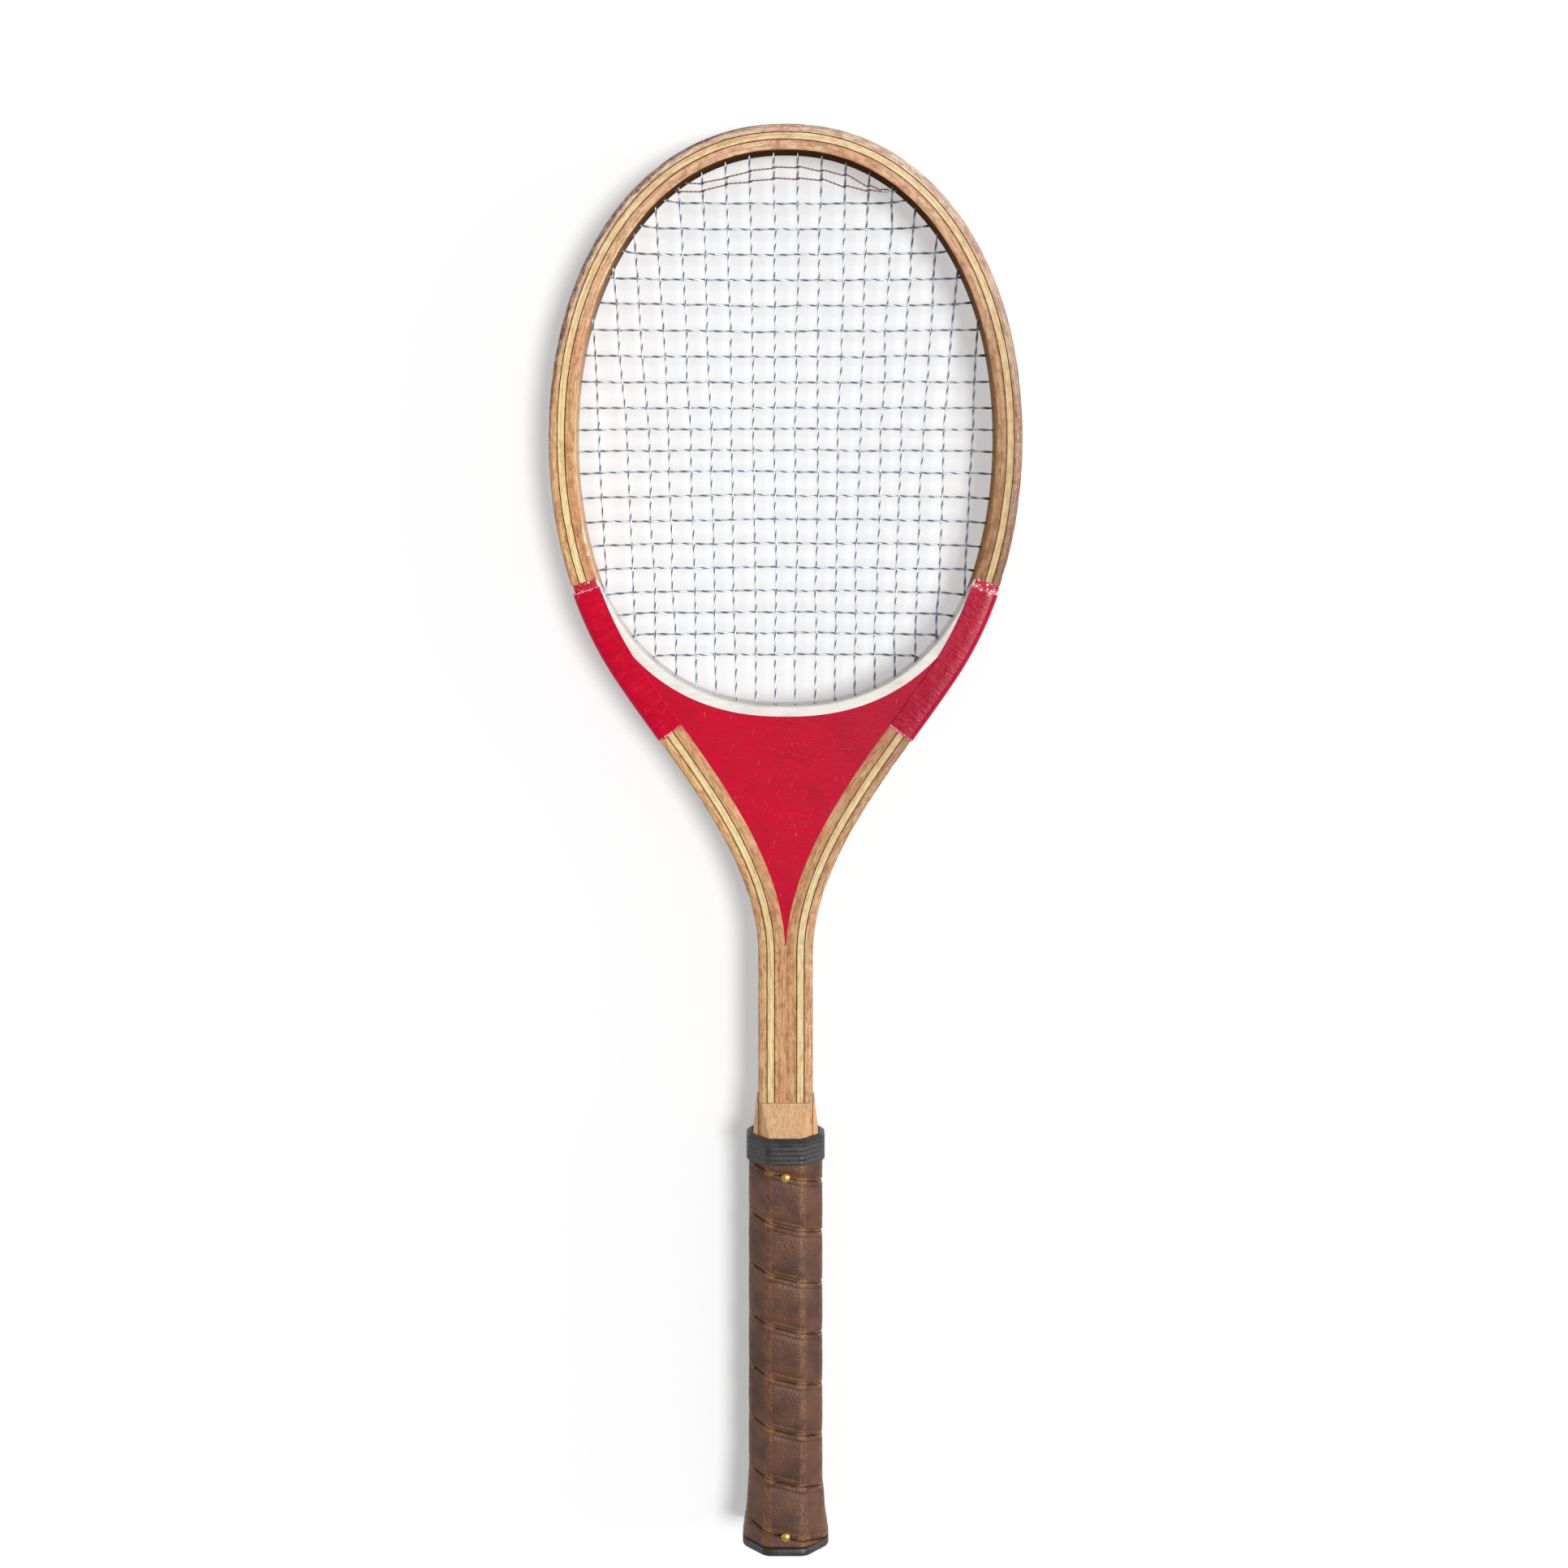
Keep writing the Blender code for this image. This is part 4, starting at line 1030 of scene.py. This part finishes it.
def leather_finish():
    """Dark brown leather, rubbed pale along the handle's corners and the strip's edges."""
    finish = Finish("leather_finish", Specular_IOR_Level=0.4)
    pebble = finish.spots(finish.whole, 1150)
    cloud = finish.noise(finish.whole, 90, 3)
    crease = finish.noise(finish.whole, 420, 4, 0.65)
    rubbed = (finish.wear() + crease * 0.7).ramp(0.95, 1.45) * 0.75
    colour = cloud.ramp(0.3, 0.75).mix((98, 58, 34), (66, 38, 24))
    colour = rubbed.mix(colour, (158, 108, 70))
    colour = pebble.ramp(0.16, 0.02, 0.0, 0.5).mix(colour, (40, 24, 16))
    return finish.made(colour, cloud.ramp(0.3, 0.8, 0.42, 0.62), (crease, 0.0002), (pebble, 0.00012))


def dark_finish(name, colour, lighter, pebbles):
    """Black cap or tape."""
    finish = Finish(name)
    cloud = finish.noise(finish.whole, 200, 3)
    return finish.made(cloud.ramp(0.4, 0.8).mix(colour, lighter),
                       cloud.ramp(0.3, 0.8, 0.38, 0.6),
                       (finish.spots(finish.whole, pebbles), 0.00008), (cloud, 0.0001))


def metal_finish(name, colour, dirt):
    finish = Finish(name, Metallic=1.0)
    rub = finish.noise(finish.whole, 1400, 3)
    return finish.made(rub.ramp(0.45, 0.7).mix(colour, dirt),
                       rub.ramp(0.3, 0.7, 0.22, 0.5), (rub, 0.00004))


# The string holes' near-black inside is painted shade
def bore_finish():
    finish = Finish("bore_finish")
    return finish.made(finish.noise(finish.whole, 1500).mix((22, 14, 10), (48, 34, 24)), 0.85)


# Tints of the wood at the left, at the right, round the top and at the lower right, with painted light at
# the left and painted shade at the right and lower right
BROWN_TINTS = ((252, 208, 148), (192, 154, 118), (252, 228, 204), (212, 192, 172))
INNER_TINTS = ((232, 184, 130), (204, 164, 122), (244, 204, 164), (226, 212, 200))
# The inner wall's tints paint shade on it, darkest round the top, and light on its left side
WALL_TINTS = ((255, 218, 180), (196, 158, 118), (100, 72, 52), (255, 250, 240))
PALE_TINTS = ((255, 234, 176), (232, 204, 150), (252, 224, 174), (255, 255, 255))
BROWN = hoop_finish("brown_ash_finish", BROWN_TINTS)
BROWN_EDGE = hoop_finish("brown_ash_edge_finish", BROWN_TINTS, gloss=0.05)
BROWN_INNER = hoop_finish("brown_ash_inner_finish", INNER_TINTS)
# The inner wall's finish, with its painted light and shade
BROWN_WALL = hoop_finish("brown_ash_wall_finish", WALL_TINTS, 0.5, 0.6, 0.0)
PALE = hoop_finish("pale_ash_finish", PALE_TINTS, 0.6, 0.35)
DARK = veneer_finish()
PAINTED_RED = lacquer_finish("red_lacquer_finish", RED, SHADED_RED, (178, 0, 40),
                             (218, 10, 58), (232, 150, 150))
PAINTED_WHITE = lacquer_finish("white_lacquer_finish", WHITE, WHITE, (228, 222, 210),
                               (248, 246, 240), (196, 172, 140))
SLEEVE_RED = sleeve_finish()
WIRE = wire_finish()
CORD = cord_finish()
BASSWOOD = plain_wood_finish("basswood_finish", (226, 180, 128))
LEATHER = leather_finish()
TAPE = dark_finish("black_tape_finish", (34, 33, 34), (62, 60, 60), 1800)
CAP = dark_finish("black_cap_finish", (30, 27, 26), (58, 50, 46), 1100)
BRASS = metal_finish("brass_finish", (206, 168, 92), (120, 92, 52))
FERRULE = metal_finish("ferrule_finish", (186, 188, 192), (70, 68, 72))
BORE_SHADE = bore_finish()


# Cutters
def string_drills():
    shape = bmesh.new()
    drilled = [(hole, MAIN_LEVEL) for hole in MAIN_TOPS + MAIN_BOTTOMS]
    drilled += [(hole, CROSS_LEVEL) for hole in CROSS_LEFTS + CROSS_RIGHTS]
    for hole, level in drilled:
        start = hole.mouth - hole.outward * 2 * MOUTH_CLEARANCE
        end = hole.loop + hole.outward * 2 * GROOVE_DEPTH
        turn = Matrix.Rotation(math.atan2(hole.outward[1], hole.outward[0]), 4, "Z")
        lying = turn @ Matrix.Rotation(math.pi / 2, 4, "Y")
        centre = Matrix.Translation(placed((*(start + end) / 2, level)))
        bmesh.ops.create_cone(shape, cap_ends=True, segments=HOLE_SIDES, radius1=HOLE_RADIUS,
                              radius2=HOLE_RADIUS, depth=float(np.linalg.norm(end - start)),
                              matrix=centre @ lying)
    mesh = bpy.data.meshes.new("string_drills")
    shape.to_mesh(mesh)
    shape.free()
    mesh.materials.append(BORE_SHADE)
    return cutter_object(mesh)


WEDGE_TIP_ARC = bisected(lambda arc: RIM.at(arc, LIMB_WIDTH)[0] - WEDGE_TIP_HALF_WIDTH, 0, WIDEST_ARC)


def limb_cutter():
    """Both limbs above the wedge's tip."""
    start = WEDGE_TIP_ARC - CUTTER_REACH
    arcs = np.linspace(start, RIM.length - start, round(RIM.length / RIM_STEP))
    beyond = 2 * HALF_THICKNESS
    rows = section(len(arcs), (-CUTTER_MARGIN, 0), (-CUTTER_MARGIN, beyond), (LIMB_WIDTH, beyond),
                   (LIMB_WIDTH, 0))
    return cutter_object(swept("limb_cutter", RIM, arcs, rows))


# Hoop and throat
def ply_section(name, arcs):
    """A ply's section at these lengths along the rim."""
    start, end = PLY_EDGES[name]
    top = HALF_THICKNESS
    lip = GROOVE_HALF_WIDTH
    heights = RIM.at(arcs)[:, 1]
    upper = [(start, 0), (start, top), (end, top), (end, 0)]
    if name == "outer_ply":
        depth = GROOVE_DEPTH * smoothstep(heights, GROOVE_ENDS, GROOVE_ENDS + GROOVE_RUN_OUT)
        wall = [(depth * share, lip + past) for share, past in GROOVE_WALL]
        corner = rounded_corner(0, top, OUTER_ROUND, 1)
        upper = [(depth, 0), *wall, *corner, (end, top), (end, 0)]
    if name == "inner_ply":
        gap = np.abs(RIM.at(arcs, LIMB_WIDTH)[:, 0])
        closed = (heights < WIDEST) & (gap < CLOSED_HALF_WIDTH)
        end = end + np.where(closed, gap - HAIR, 0)
        opened = smoothstep(heights, CROWN_STARTS - CORNER_FADES, CROWN_STARTS + CORNER_FADES)
        radius = NO_ROUND + (INNER_ROUND - NO_ROUND) * opened
        upper = [(start, 0), (start, top), *rounded_corner(end, top, radius, -1), (end, lip), (end, 0)]
    return section(len(arcs), *upper)


def dent(rows, arcs):
    """Shallow dents in the outer corners."""
    for row, arc in zip(rows, arcs):
        for point in row:
            if point[0] < OUTER_ROUND and abs(point[1]) > HALF_THICKNESS - OUTER_ROUND - GLUE_LINE:
                worn = noise.noise(Vector((arc * DENT_SCALE, *point * DENT_SCALE_ROUND)))
                point += (DENT_DEPTH * max(0, worn), 0)


def hoop(drills):
    edges = {"outer_ply": (BROWN_EDGE, 0, EDGE_REACH), "inner_ply": (BROWN_WALL, LIMB_WIDTH - EDGE_REACH, 1)}
    for name, finish, slot in (("outer_ply", BROWN, "brown_ash"), ("outer_veneer", DARK, "dark_veneer"),
                               ("centre_ply", PALE, "pale_ash"), ("inner_veneer", DARK, "dark_veneer"),
                               ("inner_ply", BROWN_INNER, "brown_ash")):
        rows = ply_section(name, RIM.arcs)
        if name == "outer_ply":
            dent(rows, RIM.arcs)
        mesh = swept(name + "_wood", RIM, RIM.arcs, rows)
        if name in edges:
            paint_depths(mesh, finish, *edges[name])
        finished(name + "_wood", mesh, finish, name, (drills,))


def crown_strip(drills, limbs):
    """The white lamination inside the lower head, feathered out along the limbs."""
    rows = section(len(CROWN.arcs), (-CROWN_THICKNESS, 0), (-CROWN_THICKNESS, HALF_THICKNESS),
                   *rounded_corner(0, HALF_THICKNESS, INNER_ROUND, -1), (0, GROOVE_HALF_WIDTH), (0, 0))
    mesh = swept("crown_strip_paint", CROWN, CROWN.arcs, rows)
    finished("crown_strip_paint", mesh, PAINTED_WHITE, "crown_strip", (limbs, drills))


def throat_wedge(drills, limbs):
    """The painted wedge between the limbs, its top against the crown strip."""
    top = CROWN.at(CROWN.arcs, -CROWN_THICKNESS)
    depths = np.linalg.norm(top[:, None] - RIM.points, axis=2).min(axis=1)
    top = top[depths > WEDGE_TOP_DEPTH]
    end = bisected(lambda arc: RIM.at(arc, LIMB_WIDTH / 2)[1] - top[-1, 1], WEDGE_TIP_ARC, WIDEST_ARC)
    side = RIM.at(np.linspace(WEDGE_TIP_ARC, end, WEDGE_POINTS), LIMB_WIDTH / 2)
    outline = np.vstack([side, top[::-1], side[::-1] * (-1, 1)])
    rows = [np.insert(outline, 2, level, axis=1) for level in (-HALF_THICKNESS, HALF_THICKNESS)]
    mesh = skin("throat_wedge_paint", np.array(rows))
    finished("throat_wedge_paint", mesh, PAINTED_RED, "throat_wedge", (limbs, drills))


def sleeve_section():
    """A shell round the limb that lines the groove and is open along the inner wall."""
    outlines = []
    for grown in (GLUE_LINE, GLUE_LINE + SLEEVE_THICKNESS):
        lip = GROOVE_HALF_WIDTH - grown
        top = HALF_THICKNESS + grown
        corner = [(i - grown, u) for i, u in rounded_corner(0, top, OUTER_ROUND + grown, 1)]
        upper = [(GROOVE_DEPTH - grown, lip), (-grown, lip), *corner]
        upper += [(inward, top) for inward in (*SLEEVE_STATIONS, LIMB_WIDTH - GLUE_LINE)]
        outlines.append([(i, -u) for i, u in reversed(upper)] + upper)
    inside, outside = outlines
    return np.array(inside + outside[::-1])


def shoulder_sleeves(drills):
    points = sleeve_section()
    count = round((SLEEVE_HIGH - SLEEVE_LOW) / RIM_STEP)
    rows = np.broadcast_to(points, (count, *points.shape))
    along = np.linspace(0, 1, count)[:, None]
    for name, side in (("shoulder_sleeve_right", 1), ("shoulder_sleeve_left", -1)):
        low, high = [[noise.noise(Vector((*point * RAGGED_SCALE, side * 7 + end * 3))) for point in points]
                     for end in (0, 1)]
        low = SLEEVE_LOW + SLEEVE_RAGGED * (0.5 + np.array(low))
        high = SLEEVE_HIGH - SLEEVE_RAGGED * (0.5 + np.array(high))
        arcs = low * (1 - along) + high * along
        mesh = swept(name + "_paint", RIM, arcs if side > 0 else RIM.length - arcs, rows)
        finished(name + "_paint", mesh, SLEEVE_RED, name, (drills,))


# Strings and cords
def string_bed():
    mains = [main_bed(main) for main in range(MAIN_COUNT)]
    crosses = [cross_bed(cross) for cross in range(len(CROSS_HEIGHTS))]
    routes = {"main_strings": route(mains, MAIN_BOTTOMS, MAIN_TOPS, MAIN_LEVEL),
              "cross_strings": route(crosses, CROSS_LEFTS, CROSS_RIGHTS, CROSS_LEVEL)}
    for name, points in routes.items():
        mesh = twisted(name + "_wire", points, STRING_STEP, *WIRE_TWIST)
        finished(name + "_wire", mesh, WIRE, name, sharp=60)


def wrap(main, height):
    """Once over a main, round under it and over it again."""
    x, y = main_point(main, height)
    # The main comes down from its top hole's level to the middle at its first cross
    level = MAIN_LEVEL * np.interp(height, [main_bed(main)[-1][1], MAIN_TOPS[main].mouth[1]], [0, 1])
    angles = np.radians(np.arange(150, -331, -30))
    shift = 2 * THREAD_RADIUS * (np.degrees(angles[0] - angles) / 360 - WRAP_STARTS)
    return [(x + WRAP_RADIUS * math.cos(a), y + s, level + WRAP_RADIUS * math.sin(a))
            for a, s in zip(angles, shift)]


def near_a_main(points):
    """1 where a point lies beside, over or under a main."""
    mains = np.array([[main_point(main, y)[0] for main in range(MAIN_COUNT)] for y in points[:, 1]])
    return (np.abs(mains - points[:, :1]).min(axis=1) < WRAP_REACH).astype(float)


def inner_edge(height):
    """Where a cord meets the right-hand inner wall at this distance from the butt."""
    return RIM.at(arc_at(height, LIMB_WIDTH), LIMB_WIDTH - CORD_RADIUS)


def trebling():
    """Each cord starts at the left-hand wall, goes round every main of its row, and ends in the crimp."""
    x, y = CRIMP_START
    for name, (start, first_main, heights, side) in TREBLING.items():
        points = [(*inner_edge(start) * (-1, 1), 0)]
        for step, height in enumerate(heights):
            points += wrap(first_main + step, height)
        points += [(x + reach, y + side * CORD_RADIUS, 0) for reach in (-CRIMP_GRIP, CRIMP_GRIP)]
        mesh = twisted(name + "_thread", points, CORD_STEP, *THREAD_TWIST, near_a_main)
        finished(name + "_thread", mesh, CORD, name, sharp=60)


def crimp():
    """A pinched ferrule round both cords, tied on by a stub of wire into the rim."""
    stations = np.linspace(0, 1, CRIMP_STATIONS)[:, None]
    pinch = 1 - CRIMP_PINCH * np.cos(stations * 4 * math.pi) ** 8
    pinch[[0, -1]] *= CRIMP_MOUTH
    angles = turned_round(CRIMP_SIDES)
    x, y = CRIMP_START
    rows = np.stack(np.broadcast_arrays(x + stations * CRIMP_LENGTH, y + CRIMP_RADIUS * np.cos(angles),
                                        CRIMP_HALF_HEIGHT * np.sin(angles) * pinch), axis=-1)
    x += CRIMP_LENGTH
    points = [(x - CRIMP_GRIP, y, 0), (x + STUB_BEND, y, -STUB_BEND), (*inner_edge(y), -STUB_DROP)]
    stub = twisted("crimp_stub", points, CORD_STEP, *THREAD_TWIST)
    mesh = joined("trebling_ferrule", [skin("ferrule", rows), stub])
    finished("trebling_ferrule", mesh, FERRULE, "trebling_crimp")


# Handle, butt and grip
def octagon_ring(growth):
    """Points round the handle's section at this growth, its corners rounded, and 1 for each at a corner."""
    width, height = CORE_HALF_WIDTH - CORNER_ROUND, CORE_HALF_HEIGHT - CORNER_ROUND
    chamfer = CORE_CHAMFER - CORNER_ROUND * (2 - math.sqrt(2))
    quarter = [(width, height - chamfer), (width - chamfer, height)]
    quarter += [(-x, z) for x, z in reversed(quarter)]
    corners = np.array(quarter + [(-x, -z) for x, z in quarter])
    radius = CORNER_ROUND + growth
    points = []
    for k, corner in enumerate(corners):
        angles = np.radians(45 * k + np.linspace(0, 45, ARC_POINTS))
        arc = corner + radius * np.stack([np.cos(angles), np.sin(angles)], axis=1)
        after = arc[-1] + corners[(k + 1) % 8] - corner
        steps = np.linspace(0, 1, SIDE_POINTS + 2)[1:-1, None]
        points += [*arc, *(arc[-1] + (after - arc[-1]) * steps)]
    return np.array(points), ([1.0] * ARC_POINTS + [0.0] * SIDE_POINTS) * 8


def turned_octagon(name, profile, finish, node, ring=False):
    """A piece that keeps the handle's section; the profile is its (y, growth) points."""
    rows = np.array([np.insert(octagon_ring(growth)[0], 1, y, axis=1) for y, growth in profile])
    finished(name, skin(name, rows, ring=ring), finish, node)


def flare_growth(y):
    knee, knee_growth = FLARE_KNEE
    return float(np.interp(y, [HANDLE_START, knee, FLARE_RUNS_OUT], [FLARE, knee_growth, 0]))


def leather_profile():
    """Across the strip: (share of the width, share of the thickness), thin at the edges, with pressed
    lines."""
    line = 0.0026
    half = [(0.0, 0.45), (0.0003, 0.68), (0.0008, 0.88), (0.0015, 0.97), (line - 0.0004, 1.0),
            (line, 0.86), (line + 0.0004, 1.0), (0.0055, 1.03), (0.009, 1.06)]
    half = [(y / LEATHER_WIDTH, h) for y, h in half]
    return half + [(1 - y, h) for y, h in reversed(half)] + [(1.0, 0.0), (0.5, 0.0), (0.0, 0.0)]


def leather_grip():
    """One strip wound up the handle, its ends cut square to it."""
    pitch = LEATHER_WIDTH + LEATHER_SEAM
    ring, ridge = octagon_ring(GAP)
    around = len(ring)
    share_round = arc_lengths(np.vstack([ring, ring[:1]]))
    share_round = share_round[:-1] / share_round[-1]
    turns = (LEATHER_END - LEATHER_NARROWEST - HANDLE_START) / pitch + 1
    profile = leather_profile()
    rows, maps, wear = [], [], []
    for k in range(1, int(turns * around)):
        turn = k // around + share_round[k % around]
        lower = max(HANDLE_START, HANDLE_START + pitch * (turn - 1))
        upper = min(LEATHER_END, HANDLE_START + pitch * turn - LEATHER_SEAM)
        row = []
        for share, thickness in profile:
            y = lower + (upper - lower) * share
            lift = noise.noise(Vector((turn * 9, share * 6, 0))) * LEATHER_LIFT if thickness > 0.5 else 0
            points, _ = octagon_ring(flare_growth(y) + GAP + LEATHER_THICKNESS * thickness + lift)
            x, z = points[k % around]
            row.append((x, y, z))
        rows.append(row)
        maps.append([(turn * 0.1, share * LEATHER_WIDTH) for share, _ in profile])
        wear.append([ridge[k % around] * 0.75 + max(0, 0.5 - min(share, 1 - share) * 8)
                     for share, _ in profile])
    mesh = skin("leather_grip_wrap", np.array(rows), uv=np.array(maps), wear=np.array(wear))
    finished("leather_grip_wrap", mesh, LEATHER, "leather_grip")


def butt_cap():
    """A moulded cap with a sunk ring in its face."""
    face = [(0.00012, 0.0062), (0.0004, 0.0058), (0.0004, 0.0052), (0.0001, 0.0048), (0.0, 0.0014),
            (0.00015, 0.0007), (0.0005, 0.0002), (0.0011, 0), (CAP_THICKNESS - 0.0005, 0),
            (CAP_THICKNESS, 0.0004)]
    profile = [(y, CAP_GROWTH - inward) for y, inward in face]
    turned_octagon("butt_cap_moulded", profile, CAP, "butt_cap")


def grip_band():
    """Tape wound in five turns over the leather's end."""
    under = GAP + LEATHER_THICKNESS + GAP
    face = under + BAND_THICKNESS
    start = LEATHER_END - BAND_WIDTH
    turn = BAND_WIDTH / BAND_TURNS
    outer = []
    for y in start + turn * np.arange(BAND_TURNS):
        outer += [(y + 0.0001, face - 0.00025), (y + 0.0005, face), (y + turn - 0.0004, face)]
    end = LEATHER_END
    profile = [(start, under), *outer, (end, face - 0.0004), (end + 0.0012, GAP + 0.0006),
               (end + 0.0011, GAP), (end + GAP, GAP), (end + GAP, under)]
    turned_octagon("grip_band_tape", profile, TAPE, "grip_band", ring=True)


def tacks():
    """Domed brass heads on short shanks."""
    angles = turned_round(TACK_SIDES)
    for name, y in TACK_PLACES.items():
        seat = CORE_HALF_HEIGHT + flare_growth(y) + GAP + LEATHER_THICKNESS
        profile = [(TACK_SHANK_RADIUS, -TACK_DEPTH), (TACK_SHANK_RADIUS, 0.0), (TACK_HEAD_RADIUS, 0.0)]
        profile += [(TACK_HEAD_RADIUS * math.cos(a), 0.0001 + TACK_HEAD_HEIGHT * math.sin(a))
                    for a in np.radians(np.arange(8, 90, 9))]
        rows = [[(r * math.cos(a), y + r * math.sin(a), seat + h) for a in angles] for r, h in profile]
        finished(name + "_head", skin(name, np.array(rows)), BRASS, name)


def carried_over():
    """CAD nodes whose shape is right get their finish."""
    for node in ("handle_slab_front", "handle_slab_back", "handle_slab_left", "handle_slab_right",
                 "butt_flare"):
        for slot in frame["nodes"][node].material_slots:
            slot.material = BASSWOOD


# Stage, lights and camera
def floor():
    mesh = bpy.data.meshes.new("floor")
    corners = [(x * FLOOR_HALF, y * FLOOR_HALF, -FLOOR_DROP)
               for x, y in ((-1, -1), (1, -1), (1, 1), (-1, 1))]
    mesh.from_pydata(corners, [], [(0, 1, 2, 3)])
    finish = Finish("floor_finish", Specular_IOR_Level=0.0, Emission_Color=(1, 1, 1, 1))
    # 1 for the camera's own rays and those that metal, gloss and glass send on
    seen = finish.node("LightPath", output="Is Camera Ray")
    for kind in ("Is Glossy Ray", "Is Transmission Ray"):
        seen = finish.math("MAXIMUM", seen, finish.node("LightPath", output=kind))
    finish.feed(finish.shader["Emission Strength"], seen * FLOOR_GLOW)
    mesh.materials.append(finish.made(seen.mix(FLOOR_BOUNCE, FLOOR_SEEN), 1.0))
    linked("floor", mesh)


def world():
    """Soft surroundings, brighter low down than overhead, and white behind the object."""
    surroundings = bpy.data.worlds.new("surroundings")
    bpy.context.scene.world = surroundings
    surroundings.use_nodes = True
    nodes = Nodes(surroundings.node_tree)
    height = nodes.split(nodes.node("TexCoord", output="Generated"))[2]
    reflected = height.graded(SKY_SEEN_LOW, SKY_SEEN_OVERHEAD)
    lighting = height.graded(SKY_LIGHT_LOW, SKY_LIGHT_OVERHEAD)
    strength = nodes.node("LightPath", output="Is Glossy Ray").graded(lighting, reflected)
    strength = nodes.node("LightPath", output="Is Camera Ray").graded(strength, 1.0)
    background = nodes.tree.nodes["Background"].inputs
    nodes.feed(background["Color"], (1, 1, 1, 1))
    nodes.feed(background["Strength"], strength)


def lights():
    """One large soft light, above the racket and to its right, and two low fills."""
    for name, (direction, strength, shadow) in LIGHTS.items():
        data = bpy.data.lights.new(name, "SUN")
        data.energy = strength
        data.angle = math.radians(LIGHT_DEGREES)
        data.use_shadow = shadow
        linked(name, data).rotation_euler = Vector(direction).to_track_quat("Z", "Y").to_euler()


def camera():
    metres_per_pixel = 2 * HEAD_HALF_WIDTH / HEAD_PIXELS
    data = bpy.data.cameras.new("camera")
    data.sensor_width = SENSOR_MM
    data.lens = CAMERA_DISTANCE / metres_per_pixel * DRAWN_IN / PHOTO_SIZE * SENSOR_MM
    data.shift_x = (PHOTO_SIZE / 2 - AXIS_COLUMN) / PHOTO_SIZE
    data.shift_y = (SHOWN_AXIS_ROW - PHOTO_SIZE / 2) / PHOTO_SIZE
    eye = linked("camera", data)
    height = LENGTH / 2 - (AXIS_ROW - TIP_ROW) * metres_per_pixel
    eye.location = (0, height, REST_HEIGHT + HALF_THICKNESS + CAMERA_DISTANCE)
    bpy.context.scene.camera = eye


def build():
    drills = string_drills()
    limbs = limb_cutter()
    hoop(drills)
    crown_strip(drills, limbs)
    throat_wedge(drills, limbs)
    shoulder_sleeves(drills)
    for cutter in (drills, limbs):
        bpy.data.objects.remove(cutter)
    for step in (string_bed, trebling, crimp, leather_grip, butt_cap, grip_band, tacks, carried_over):
        step()


build()
floor()
world()
lights()
camera()
bpy.context.scene.view_settings.view_transform = "Standard"
